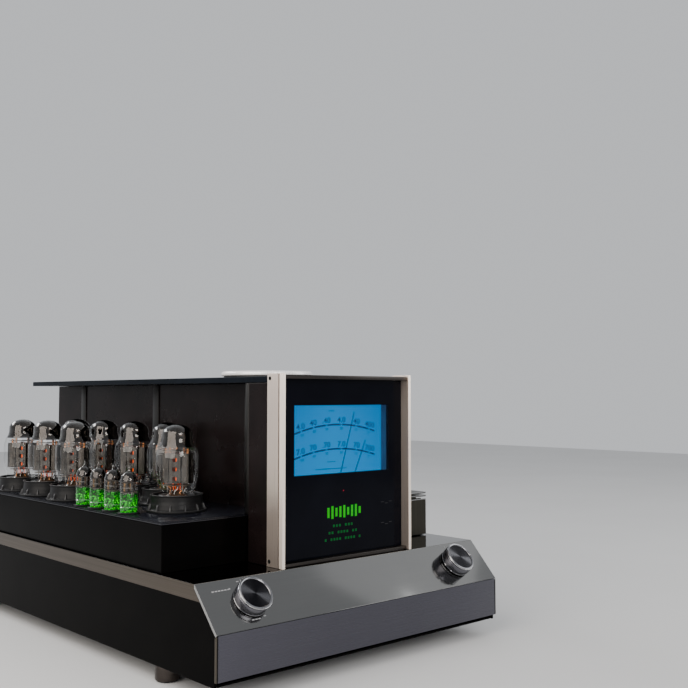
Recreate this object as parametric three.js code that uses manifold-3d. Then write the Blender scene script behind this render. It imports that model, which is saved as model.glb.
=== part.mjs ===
// A single-channel vacuum-tube power amplifier: a low chassis with a bevelled front, a tall glass-fronted
// meter tower in the middle, eight output tubes on the left platform and a heat sink on the right.
// Millimetres, +Z up, front towards -Y. The origin ends up under the middle of the whole object.
import * as THREE from 'three';
import { mergeVertices } from 'three/addons/utils/BufferGeometryUtils.js';
import Module from 'manifold-3d';

const wasm = await Module();
wasm.setup();

// ---- driving dimensions (Y is measured back from the face of the front panel until the last step)
const WIDTH = 444.5;
const HALF = WIDTH / 2;
const REAR_Y = 712;
const GAP = 0.3;
const FOOT_HEIGHT = 19.3;
const FOOT_RADIUS = 14;
const FOOT_INSET = 18;
const FRONT_FEET_Y = 120;
const REAR_FEET_Y = 620;
const FRONT_BOTTOM = 26;
const BEVEL_LOW_Z = FRONT_BOTTOM + 47.1;
const DECK_TOP = FRONT_BOTTOM + 92.4;
const BEVEL_DEPTH = 41.7;
const BEVEL_ANGLE = Math.atan2(DECK_TOP - BEVEL_LOW_Z, BEVEL_DEPTH);
const BEVEL_SLOPE = Math.tan(BEVEL_ANGLE);
const PLATE = 3;
const DECK_SHEET = 2;
const LIP_BOTTOM = DECK_TOP - 16.8;
const CHASSIS_BOTTOM = FOOT_HEIGHT + GAP;
const BASE_SHEET = 2.5;

const KNOB_X = 165;
const KNOB_SLOPE_POSITION = 32;
const KNOB_RADIUS = 20.7;
const KNOB_RING_WIDTH = 4;
const KNOB_HEIGHT = 15.4;
const KNOB_STANDOFF = 1;
const SHAFT_RADIUS = 3.2;
const SHAFT_LENGTH = 17;
const BUSHING_RADIUS = 5;

const POST_OUTER_X = 105;
const POST_INNER_X = 100.8;
const POST_BOTTOM = DECK_TOP + GAP;
const POST_TOP = FRONT_BOTTOM + 314;
const TOWER_FRONT_Y = 41.9;
const POST_DEPTH = 28.6;
const GROOVE_DEPTH = 1.2;
const TOWER_WALL_TOP = FRONT_BOTTOM + 303.2;
const COVER_TOP = FRONT_BOTTOM + 310.5;
const COVER_SHEET = 6.9;
const GLASS_FRONT_Y = 55;
const GLASS_THICKNESS = 4;
const GLASS_BOTTOM = FRONT_BOTTOM + 97.2;
const GLASS_TOP = FRONT_BOTTOM + 307.2;
const WINDOW_HALF = 77.3;
const WINDOW_BOTTOM = FRONT_BOTTOM + 194.5;
const WINDOW_TOP = FRONT_BOTTOM + 276.5;
const DIAL_Y = 72.5;
const METER_BACK_Y = 76;
const METER_WALL = 2.5;
const NEEDLE_PIVOT_Z = FRONT_BOTTOM + 172;
const UPPER_NEEDLE = { x: -0.6, length: 100, frontY: 67, tiltDegrees: 17 };
const LOWER_NEEDLE = { x: 17, length: 67, frontY: 63.6, tiltDegrees: 24.5 };

const FRONT_BOX_BACK_Y = 107;
const SPINE_HALF = 59.5;
const SPINE_END_Y = 704;
const DISC_Y = 207;
const DISC_RADIUS = 61;
const DISC_HEIGHT = 9.4;

const PLATFORM_LEFT = -217.4;
const PLATFORM_RIGHT = -61;
const PLATFORM_FRONT_Y = 113.7;
const PLATFORM_BACK_Y = 640;
const PLATFORM_TOP = FRONT_BOTTOM + 145;
const TUBE_PLATE_TOP = FRONT_BOTTOM + 148;
const OUTPUT_TUBES = [
  [-146, 197], [-114, 272], [-114, 357], [-180, 399.5],
  [-114, 442], [-180, 484.5], [-114, 527], [-180, 569.5],
];
const SMALL_TUBES = [[-204, 210], [-205, 247], [-205, 284], [-205, 321]];

const SINK_LEFT = 70;
const SINK_RIGHT = 212.5;
const SINK_FRONT_Y = 115;
const SINK_BACK_Y = 640;
const SINK_TOP = FRONT_BOTTOM + 143;
const SINK_FINS = 24;
const FIN_THICKNESS = 3;
const POWER_TRANSFORMER_Y = [130, 300];
const OUTPUT_TRANSFORMER_Y = [400, 600];

const SOCKET_Z = FRONT_BOTTOM + 40;
const INPUT_X = -170;
const TERMINAL_X = 150;
const TERMINAL_SPACING = 46;

const amplifier = new THREE.Group();

// ---- materials
const material = (color, roughness, metalness) =>
  new THREE.MeshStandardMaterial({ color, roughness, metalness });
const paint = { color: 0x0c0c0d, roughness: 0.3, metalness: 0 };
const blackPaint = () => material(paint.color, paint.roughness, paint.metalness);
const satinTitanium = () => material(0x6e706f, 0.35, 1);
const blueSteel = () => material(0x4b4d58, 0.4, 1);
const mirrorSteel = () => material(0x9a958c, 0.08, 1);
const champagne = () => material(0xc8b9aa, 0.4, 1);
const darkRail = () => material(0x4a4038, 0.4, 1);
const gunmetal = () => material(0x36373b, 0.3, 1);
const blackGlass = () => material(0x0b0b10, 0.05, 0);
const bulbGlass = () => material(0xb8b4a8, 0.05, 0);
const blackPlastic = () => material(0x17171a, 0.5, 0);
const coreIron = () => material(0x2a2724, 0.6, 0.5);
const gold = () => material(0xb98d3c, 0.25, 1);
const cyanDial = () => material(0x0096ff, 0.6, 0);
const finGrey = () => material(0x34353a, 0.4, 0.9);

// ---- solids
function addMesh(name, geometry, meshMaterial, parent = amplifier) {
  const mesh = new THREE.Mesh(geometry, meshMaterial);
  mesh.name = name;
  parent.add(mesh);
  return mesh;
}

function boxGeometry([x0, x1], [y0, y1], [z0, z1]) {
  const geometry = new THREE.BoxGeometry(x1 - x0, y1 - y0, z1 - z0);
  geometry.translate((x0 + x1) / 2, (y0 + y1) / 2, (z0 + z1) / 2);
  return geometry;
}

// A lathe about Z: the profile is a list of [radius, height] from the lowest point up the outside.
function turned(profile, segments) {
  const points = profile.map(([radius, height]) => new THREE.Vector2(radius, height));
  const geometry = new THREE.LatheGeometry(points, segments);
  geometry.rotateX(Math.PI / 2);
  return geometry;
}

// An outline of [y, z] points, extruded along X from x0 to x1.
function sideExtrusion(outline, x0, x1) {
  const shape = new THREE.Shape(outline.map(([y, z]) => new THREE.Vector2(y, z)));
  const geometry = new THREE.ExtrudeGeometry(shape, { depth: x1 - x0, bevelEnabled: false });
  geometry.rotateY(Math.PI / 2);
  geometry.rotateX(Math.PI / 2);
  geometry.translate(x0, 0, 0);
  return geometry;
}

function solid(geometry) {
  const bare = geometry.clone();
  bare.deleteAttribute('normal');
  bare.deleteAttribute('uv');
  const merged = mergeVertices(bare);
  return new wasm.Manifold(new wasm.Mesh({
    numProp: 3,
    vertProperties: new Float32Array(merged.attributes.position.array),
    triVerts: new Uint32Array(merged.index.array),
  }));
}

function solidGeometry(manifold) {
  const mesh = manifold.getMesh();
  const geometry = new THREE.BufferGeometry();
  geometry.setAttribute('position', new THREE.BufferAttribute(new Float32Array(mesh.vertProperties), 3));
  geometry.setIndex(new THREE.BufferAttribute(new Uint32Array(mesh.triVerts), 1));
  geometry.computeVertexNormals();
  return geometry;
}

function cut(geometry, ...tools) {
  return solidGeometry(tools.reduce((body, tool) => body.subtract(solid(tool)), solid(geometry)));
}

function join(geometry, ...others) {
  return solidGeometry(others.reduce((body, other) => body.add(solid(other)), solid(geometry)));
}

// The back face of the bevel's plate and its height, with a small clearance.
const bevelThickness = PLATE / Math.sin(BEVEL_ANGLE) + GAP + 0.1;
const behindBevel = (z) => (z - BEVEL_LOW_Z) / BEVEL_SLOPE + bevelThickness;
const underBevel = (y) => BEVEL_LOW_Z + (y - bevelThickness) * BEVEL_SLOPE;

// ---- chassis
function addChassis() {
  const inside = HALF - 0.5;
  addMesh('bottom_plate', boxGeometry(
    [-inside + PLATE + GAP, inside - PLATE - GAP],
    [6, REAR_Y - PLATE - GAP],
    [CHASSIS_BOTTOM, CHASSIS_BOTTOM + BASE_SHEET],
  ), blackPaint());
  const panelTop = LIP_BOTTOM - GAP;
  const sideFrontY = 3.9;
  const sideOutline = [
    [sideFrontY, CHASSIS_BOTTOM],
    [REAR_Y - PLATE - GAP, CHASSIS_BOTTOM],
    [REAR_Y - PLATE - GAP, panelTop],
    [behindBevel(panelTop), panelTop],
    [sideFrontY, underBevel(sideFrontY)],
  ];
  addMesh('left_side_panel', sideExtrusion(sideOutline, -inside, -inside + PLATE), blackPaint());
  addMesh('right_side_panel', sideExtrusion(sideOutline, inside - PLATE, inside), blackPaint());
  addMesh('rear_panel', boxGeometry(
    [-HALF + DECK_SHEET + GAP, HALF - DECK_SHEET - GAP], [REAR_Y - PLATE, REAR_Y],
    [CHASSIS_BOTTOM, DECK_TOP - DECK_SHEET - GAP],
  ), blackPaint());
  const frontOutline = [
    [0, FRONT_BOTTOM], [3.5, FRONT_BOTTOM], [3.5, BEVEL_LOW_Z - 2.5],
    [2.2, BEVEL_LOW_Z - 2.5], [0, BEVEL_LOW_Z - 0.4],
  ];
  addMesh('front_panel', sideExtrusion(frontOutline, -HALF, HALF), blueSteel());
}

// The top sheet with its two side lips, whose front edges lie along the back of the bevel.
function addDeck() {
  const frontY = BEVEL_DEPTH + GAP;
  const top = boxGeometry([-HALF, HALF], [frontY, REAR_Y], [DECK_TOP - DECK_SHEET, DECK_TOP]);
  const lipOutline = [
    [behindBevel(LIP_BOTTOM), LIP_BOTTOM], [REAR_Y, LIP_BOTTOM], [REAR_Y, DECK_TOP - 1],
    [frontY, DECK_TOP - 1], [frontY, underBevel(frontY)],
  ];
  addMesh('deck', join(
    top,
    sideExtrusion(lipOutline, -HALF, -HALF + DECK_SHEET),
    sideExtrusion(lipOutline, HALF - DECK_SHEET, HALF),
  ), mirrorSteel());
}

function addFeet() {
  const reach = HALF - FOOT_INSET;
  const places = {
    front_left: [-reach, FRONT_FEET_Y],
    front_right: [reach, FRONT_FEET_Y],
    rear_left: [-reach, REAR_FEET_Y],
    rear_right: [reach, REAR_FEET_Y],
  };
  const profile = [
    [0, 0], [FOOT_RADIUS - 1, 0], [FOOT_RADIUS, 1], [FOOT_RADIUS, FOOT_HEIGHT - 1],
    [FOOT_RADIUS - 1, FOOT_HEIGHT], [0, FOOT_HEIGHT],
  ];
  for (const [corner, [x, y]] of Object.entries(places)) {
    addMesh(`foot_${corner}`, turned(profile, 24), gunmetal()).position.set(x, y, 0);
  }
}

// ---- bevel with its two rotary controls, drawn lying flat in a group tilted to the bevel's angle
function addBevel() {
  const bevel = new THREE.Group();
  bevel.position.set(0, 0, BEVEL_LOW_Z);
  bevel.rotation.x = BEVEL_ANGLE;
  amplifier.add(bevel);
  const length = BEVEL_DEPTH / Math.cos(BEVEL_ANGLE);
  const undercut = PLATE * BEVEL_SLOPE;
  const outline = [[0, -PLATE], [length - undercut, -PLATE], [length, 0], [0, 0]];
  const holes = [-KNOB_X, KNOB_X].map((x) => {
    const hole = turned([
      [0, -2 * PLATE], [BUSHING_RADIUS, -2 * PLATE], [BUSHING_RADIUS, PLATE], [0, PLATE],
    ], 20);
    return hole.translate(x, KNOB_SLOPE_POSITION, 0);
  });
  addMesh('bevel_panel', cut(sideExtrusion(outline, -HALF, HALF), ...holes), satinTitanium(), bevel);
  addKnob('meter_knob', -KNOB_X, bevel);
  addKnob('power_knob', KNOB_X, bevel);
  addSwitch('meter_switch', -KNOB_X, bevel);
  addSwitch('power_switch', KNOB_X, bevel);
}

// A knob with a raised rim round a sunk face, turned in one piece with its shaft.
function addKnob(name, x, parent) {
  const rim = KNOB_RADIUS - KNOB_RING_WIDTH;
  const profile = [
    [0, -SHAFT_LENGTH], [SHAFT_RADIUS, -SHAFT_LENGTH], [SHAFT_RADIUS, KNOB_STANDOFF],
    [KNOB_RADIUS - 1.2, KNOB_STANDOFF], [KNOB_RADIUS - 1.2, KNOB_STANDOFF + 1.2],
    [KNOB_RADIUS, KNOB_STANDOFF + 1.6], [KNOB_RADIUS, KNOB_HEIGHT - 0.8],
    [KNOB_RADIUS - 0.8, KNOB_HEIGHT], [rim, KNOB_HEIGHT], [rim, KNOB_HEIGHT - 1], [0, KNOB_HEIGHT - 1],
  ];
  addMesh(name, turned(profile, 28), gunmetal(), parent).position.set(x, KNOB_SLOPE_POSITION, 0);
}

// A rotary switch under the bevel, with a blind bore for the knob's shaft.
function addSwitch(name, x, parent) {
  const top = -PLATE - GAP;
  const body = boxGeometry([-13, 13], [-13, 13], [-26, top]);
  const bore = turned([
    [0, -SHAFT_LENGTH - 1], [SHAFT_RADIUS + 0.6, -SHAFT_LENGTH - 1], [SHAFT_RADIUS + 0.6, 0], [0, 0],
  ], 20);
  addMesh(name, cut(body, bore), blackPlastic(), parent).position.set(x, KNOB_SLOPE_POSITION, 0);
}

// ---- meter tower
function addPosts() {
  const sides = { left_post: -1, right_post: 1 };
  for (const [name, side] of Object.entries(sides)) {
    const inner = side * POST_INNER_X;
    const outer = side * POST_OUTER_X;
    const across = [Math.min(inner, outer), Math.max(inner, outer)];
    const upright = boxGeometry(
      across, [TOWER_FRONT_Y, TOWER_FRONT_Y + POST_DEPTH], [POST_BOTTOM, POST_TOP],
    );
    const groove = boxGeometry(
      [outer - GROOVE_DEPTH, outer + GROOVE_DEPTH],
      [TOWER_FRONT_Y + 6, TOWER_FRONT_Y + 8.2], [POST_BOTTOM - 1, POST_TOP + 1],
    );
    addMesh(name, cut(upright, groove), champagne());
  }
}

function addTowerFront() {
  const across = [-POST_INNER_X + GAP, POST_INNER_X - GAP];
  addMesh('top_rail', boxGeometry(across, [44, 66], [GLASS_TOP + GAP, FRONT_BOTTOM + 312.2]), darkRail());
  addMesh('bottom_rail', boxGeometry(across, [46, 66], [POST_BOTTOM, GLASS_BOTTOM - GAP]), darkRail());
  const depth = [GLASS_FRONT_Y, GLASS_FRONT_Y + GLASS_THICKNESS];
  const glass = boxGeometry(across, depth, [GLASS_BOTTOM, GLASS_TOP]);
  const opening = boxGeometry(
    [-WINDOW_HALF, WINDOW_HALF], [depth[0] - 1, depth[1] + 1], [WINDOW_BOTTOM, WINDOW_TOP],
  );
  addMesh('front_glass', cut(glass, opening), blackGlass());
  addMesh('meter_window', boxGeometry(
    [-WINDOW_HALF + GAP, WINDOW_HALF - GAP], depth, [WINDOW_BOTTOM + GAP, WINDOW_TOP - GAP],
  ), bulbGlass());
}

// The meter's case is a tray open to the front: the dial lies on its floor and the needles sweep in it.
function addMeter() {
  const frontY = GLASS_FRONT_Y + GLASS_THICKNESS + GAP;
  const halfWidth = WINDOW_HALF + 7;
  const bottom = WINDOW_BOTTOM - 30;
  const top = WINDOW_TOP + 6;
  const caseBody = boxGeometry([-halfWidth, halfWidth], [frontY, METER_BACK_Y], [bottom, top]);
  const tray = boxGeometry(
    [-halfWidth + METER_WALL, halfWidth - METER_WALL], [frontY - 1, DIAL_Y + 1.5],
    [bottom + METER_WALL, top - METER_WALL],
  );
  addMesh('meter_case', cut(caseBody, tray), blackPlastic());
  addMesh('meter_dial', boxGeometry(
    [-halfWidth + METER_WALL + GAP, halfWidth - METER_WALL - GAP], [DIAL_Y, DIAL_Y + 1.2],
    [bottom + METER_WALL + GAP, top - METER_WALL - GAP],
  ), cyanDial());
  addNeedle('upper_needle', UPPER_NEEDLE);
  addNeedle('lower_needle', LOWER_NEEDLE);
}

// A flat tapered pointer, drawn upright from its hub and turned to its resting angle.
function addNeedle(name, { x, length, frontY, tiltDegrees }) {
  const pointer = new THREE.Shape();
  pointer.moveTo(-0.8, 0);
  pointer.lineTo(-0.35, length);
  pointer.lineTo(0.35, length);
  pointer.lineTo(0.8, 0);
  pointer.absarc(0, 0, 4, 0.3, Math.PI - 0.3, true);
  const geometry = new THREE.ExtrudeGeometry(pointer, { depth: 0.8, bevelEnabled: false, curveSegments: 10 });
  geometry.rotateX(Math.PI / 2);
  const needle = addMesh(name, geometry, blackPlastic());
  needle.position.set(x, frontY, NEEDLE_PIVOT_Z);
  needle.rotation.y = THREE.MathUtils.degToRad(tiltDegrees);
}

function addTowerBody() {
  const boxFront = TOWER_FRONT_Y + POST_DEPTH + GAP;
  const wide = POST_OUTER_X - 0.7;
  const wall = 2;
  const floor = DECK_TOP + GAP;
  // The front box is open to the front, where the meter's case closes it.
  addMesh('tower_front_box', cut(
    boxGeometry([-wide, wide], [boxFront, FRONT_BOX_BACK_Y], [floor, TOWER_WALL_TOP]),
    boxGeometry(
      [-wide + wall, wide - wall], [boxFront - 1, FRONT_BOX_BACK_Y - wall],
      [floor + wall, TOWER_WALL_TOP - wall],
    ),
  ), blackPaint());
  const spineFront = FRONT_BOX_BACK_Y + GAP;
  addMesh('spine_housing', cut(
    boxGeometry([-SPINE_HALF, SPINE_HALF], [spineFront, SPINE_END_Y], [floor, TOWER_WALL_TOP]),
    boxGeometry(
      [-SPINE_HALF + wall, SPINE_HALF - wall], [spineFront + wall, SPINE_END_Y - wall],
      [floor - 1, TOWER_WALL_TOP - wall],
    ),
  ), blackPaint());
  addMesh('tower_top_cover', boxGeometry(
    [-POST_OUTER_X + 0.3, POST_OUTER_X - 0.3], [TOWER_FRONT_Y + POST_DEPTH + GAP, SPINE_END_Y + 2],
    [COVER_TOP - COVER_SHEET, COVER_TOP],
  ), blackPaint());
  addMesh('top_disc', turned([
    [0, 0], [DISC_RADIUS, 0], [DISC_RADIUS, DISC_HEIGHT - 3], [DISC_RADIUS - 1, DISC_HEIGHT - 0.9],
    [DISC_RADIUS - 3.2, DISC_HEIGHT], [0, DISC_HEIGHT],
  ], 48), champagne()).position.set(0, DISC_Y, COVER_TOP + GAP);
}

function addTransformers() {
  const reach = SPINE_HALF - 8;
  const floor = DECK_TOP + 4;
  const roof = TOWER_WALL_TOP - 30;
  const across = [-reach, reach];
  const upright = [floor, roof];
  addMesh('power_transformer', boxGeometry(across, POWER_TRANSFORMER_Y, upright), coreIron());
  addMesh('output_transformer', boxGeometry(across, OUTPUT_TRANSFORMER_Y, upright), coreIron());
}

// ---- tube platform
function addTubePlatform() {
  addMesh('tube_platform', cut(
    boxGeometry(
      [PLATFORM_LEFT, PLATFORM_RIGHT], [PLATFORM_FRONT_Y, PLATFORM_BACK_Y],
      [DECK_TOP + GAP, PLATFORM_TOP],
    ),
    boxGeometry(
      [PLATFORM_LEFT + 2, PLATFORM_RIGHT - 2], [PLATFORM_FRONT_Y + 2, PLATFORM_BACK_Y - 2],
      [DECK_TOP - 1, PLATFORM_TOP - 2],
    ),
  ), blackPaint());
  addMesh('tube_plate', boxGeometry(
    [PLATFORM_LEFT - 1.5, PLATFORM_RIGHT], [PLATFORM_FRONT_Y - 1.5, PLATFORM_BACK_Y],
    [PLATFORM_TOP + GAP, TUBE_PLATE_TOP],
  ), gunmetal());
  OUTPUT_TUBES.forEach(([x, y], index) => {
    const floor = TUBE_PLATE_TOP + GAP;
    addMesh(`tube_guard_${index + 1}`, guardGeometry(), blackPlastic()).position.set(x, y, floor);
    addMesh(`output_tube_${index + 1}`, outputTubeGeometry(), bulbGlass()).position.set(x, y, floor);
  });
  SMALL_TUBES.forEach(([x, y], index) => {
    addMesh(`small_tube_${index + 1}`, smallTubeGeometry(), bulbGlass())
      .position.set(x, y, TUBE_PLATE_TOP + GAP);
  });
}

// The guard is an open ring: a bolted foot, a waisted skirt with gussets round it, and a rim on top.
function guardGeometry() {
  const bore = 28.6;
  const skirt = turned([
    [bore, 0], [36.3, 0], [36.3, 2.4], [32.4, 4], [31.2, 12], [32, 20.4], [bore, 20.4], [bore, 0],
  ], 24);
  const gussets = [];
  const count = 8;
  for (let index = 0; index < count; index += 1) {
    const gusset = boxGeometry([bore + 1, 35.6], [-1.3, 1.3], [1, 10]);
    gusset.rotateZ((index * 2 * Math.PI) / count);
    gussets.push(gusset);
  }
  return join(skirt, ...gussets);
}

function outputTubeGeometry() {
  const base = [[0, 0], [20, 0], [21, 26]];
  const bulb = [[26, 46], [26, 68], [20.6, 82], [19.6, 92], [13, 102.4], [0, 105]];
  return turned([...base, ...bulb], 20);
}

function smallTubeGeometry() {
  const glass = [[0, 0], [10.5, 0], [10.5, 37], [9.6, 42.5], [7.2, 46.8], [3.8, 49.4]];
  const pip = [[1.9, 50.6], [1.3, 54.5], [0, 58]];
  return turned([...glass, ...pip], 16);
}

// ---- heat sink bank on the right: a spine plate along Y with fins standing across it
function addHeatSink() {
  const floor = DECK_TOP + GAP;
  const plateRight = SINK_LEFT + 10;
  const pitch = (SINK_BACK_Y - SINK_FRONT_Y) / SINK_FINS;
  const outline = new THREE.Shape();
  outline.moveTo(SINK_LEFT, SINK_FRONT_Y);
  for (let index = 0; index < SINK_FINS; index += 1) {
    const start = SINK_FRONT_Y + index * pitch;
    outline.lineTo(SINK_RIGHT, start);
    outline.lineTo(SINK_RIGHT, start + FIN_THICKNESS);
    outline.lineTo(plateRight, start + FIN_THICKNESS);
    outline.lineTo(plateRight, start + pitch);
  }
  outline.lineTo(SINK_LEFT, SINK_BACK_Y);
  const geometry = new THREE.ExtrudeGeometry(outline, { depth: SINK_TOP - floor, bevelEnabled: false });
  addMesh('heat_sink', geometry.translate(0, 0, floor), finGrey());
  addMesh('heat_sink_cover', boxGeometry(
    [SINK_LEFT, SINK_RIGHT], [SINK_FRONT_Y, SINK_BACK_Y], [SINK_TOP + 3, SINK_TOP + 9.5],
  ), finGrey());
}

// ---- rear sockets
function addRear() {
  const face = REAR_Y + GAP;
  const block = boxGeometry(
    [TERMINAL_X - 48, TERMINAL_X + 48], [face, face + 6], [SOCKET_Z - 26, SOCKET_Z + 26],
  );
  const studs = [-1, 1].map((side) => {
    const stud = turned([[0, 0], [4, 0], [4, 17], [0, 17]], 16);
    stud.rotateX(-Math.PI / 2);
    return stud.translate(TERMINAL_X + side * TERMINAL_SPACING / 2, face + 5, SOCKET_Z);
  });
  addMesh('output_terminal', join(block, ...studs), blackPlastic());
  const capProfile = [
    [4.5, 0], [9, 0], [9, 9], [11.5, 10.5], [11.5, 18.6], [0, 18.6], [0, 16.6], [4.5, 16.6], [4.5, 0],
  ];
  ['terminal_cap_negative', 'terminal_cap_positive'].forEach((name, index) => {
    const cap = turned(capProfile, 24);
    cap.rotateX(-Math.PI / 2);
    addMesh(name, cap, gold()).position.set(
      TERMINAL_X + (index - 0.5) * TERMINAL_SPACING, face + 6 + GAP, SOCKET_Z,
    );
  });
  const inputBody = boxGeometry(
    [INPUT_X - 14, INPUT_X + 14], [face, face + 10], [SOCKET_Z - 16, SOCKET_Z + 16],
  );
  const socket = turned([[0, 0], [9, 0], [9, 10], [0, 10]], 20);
  socket.rotateX(-Math.PI / 2);
  socket.translate(INPUT_X, face + 1.5, SOCKET_Z);
  addMesh('input_socket', cut(inputBody, socket), blackPlastic());
  addMesh('mains_inlet', cut(
    boxGeometry([-24, 24], [face, face + 8], [SOCKET_Z - 14, SOCKET_Z + 14]),
    boxGeometry([-12, 12], [face + 1.5, face + 9], [SOCKET_Z - 8, SOCKET_Z + 8]),
  ), blackPlastic());
}

addChassis();
addDeck();
addFeet();
addBevel();
addPosts();
addTowerFront();
addMeter();
addTowerBody();
addTransformers();
addTubePlatform();
addHeatSink();
addRear();

// Move the origin under the middle of the whole object.
const extent = new THREE.Box3().setFromObject(amplifier, true);
amplifier.position.y = -(extent.min.y + extent.max.y) / 2;

export default amplifier;
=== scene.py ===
"""Looks for a single-channel vacuum-tube power amplifier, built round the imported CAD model.

Shapes are in millimetres, turned into metres by MM. Y is counted back from the front panel's face,
and Z up from the surface that the feet stand on.
"""
import math
import random

import bmesh
import bpy
from mathutils import Matrix, Vector


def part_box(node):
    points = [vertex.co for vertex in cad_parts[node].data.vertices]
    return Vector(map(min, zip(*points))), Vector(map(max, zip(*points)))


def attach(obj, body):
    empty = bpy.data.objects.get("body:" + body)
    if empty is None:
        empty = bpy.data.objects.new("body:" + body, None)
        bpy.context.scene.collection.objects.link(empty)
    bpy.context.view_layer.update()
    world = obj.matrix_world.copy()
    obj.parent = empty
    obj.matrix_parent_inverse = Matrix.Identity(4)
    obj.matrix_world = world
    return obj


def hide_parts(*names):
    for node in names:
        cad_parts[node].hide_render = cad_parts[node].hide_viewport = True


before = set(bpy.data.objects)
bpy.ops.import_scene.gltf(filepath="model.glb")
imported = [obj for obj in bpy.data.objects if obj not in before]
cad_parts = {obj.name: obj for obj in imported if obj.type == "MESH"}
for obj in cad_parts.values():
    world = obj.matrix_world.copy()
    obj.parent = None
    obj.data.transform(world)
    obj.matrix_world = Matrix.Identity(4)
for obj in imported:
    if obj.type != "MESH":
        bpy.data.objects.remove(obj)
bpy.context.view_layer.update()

MM = 0.001
FRONT_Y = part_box("front_panel")[0].y
HALF_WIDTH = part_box("deck")[1].x / MM
DECK_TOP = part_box("deck")[1].z / MM
FRONT_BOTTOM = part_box("front_panel")[0].z / MM
BEVEL_LOW_Z = FRONT_BOTTOM + 47.1
BEVEL_DEPTH = 41.7
BEVEL_ANGLE = math.atan2(DECK_TOP - BEVEL_LOW_Z, BEVEL_DEPTH)
BEVEL_LENGTH = BEVEL_DEPTH / math.cos(BEVEL_ANGLE)
ROOT = "chassis"


def at(x, y, z):
    """A point in the shared frame from millimetres."""
    return Vector((x * MM, FRONT_Y + y * MM, z * MM))


ORIGIN = Matrix.Translation(at(0, 0, 0))
QUARTER_X = Matrix.Rotation(math.pi / 2, 4, "X")
TO_REAR = Matrix.Rotation(-math.pi / 2, 4, "X")


def span(node):
    """The limits of a node's box in millimetres: x0, x1, y0, y1, z0, z1."""
    lo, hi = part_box(node)
    return lo.x / MM, hi.x / MM, (lo.y - FRONT_Y) / MM, (hi.y - FRONT_Y) / MM, lo.z / MM, hi.z / MM


def middle(node):
    """The middle of a node's box across and along, and the height of its underside."""
    x0, x1, y0, y1, z0, _ = span(node)
    return (x0 + x1) / 2, (y0 + y1) / 2, z0


# ---------------------------------------------------------------- shapes


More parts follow.
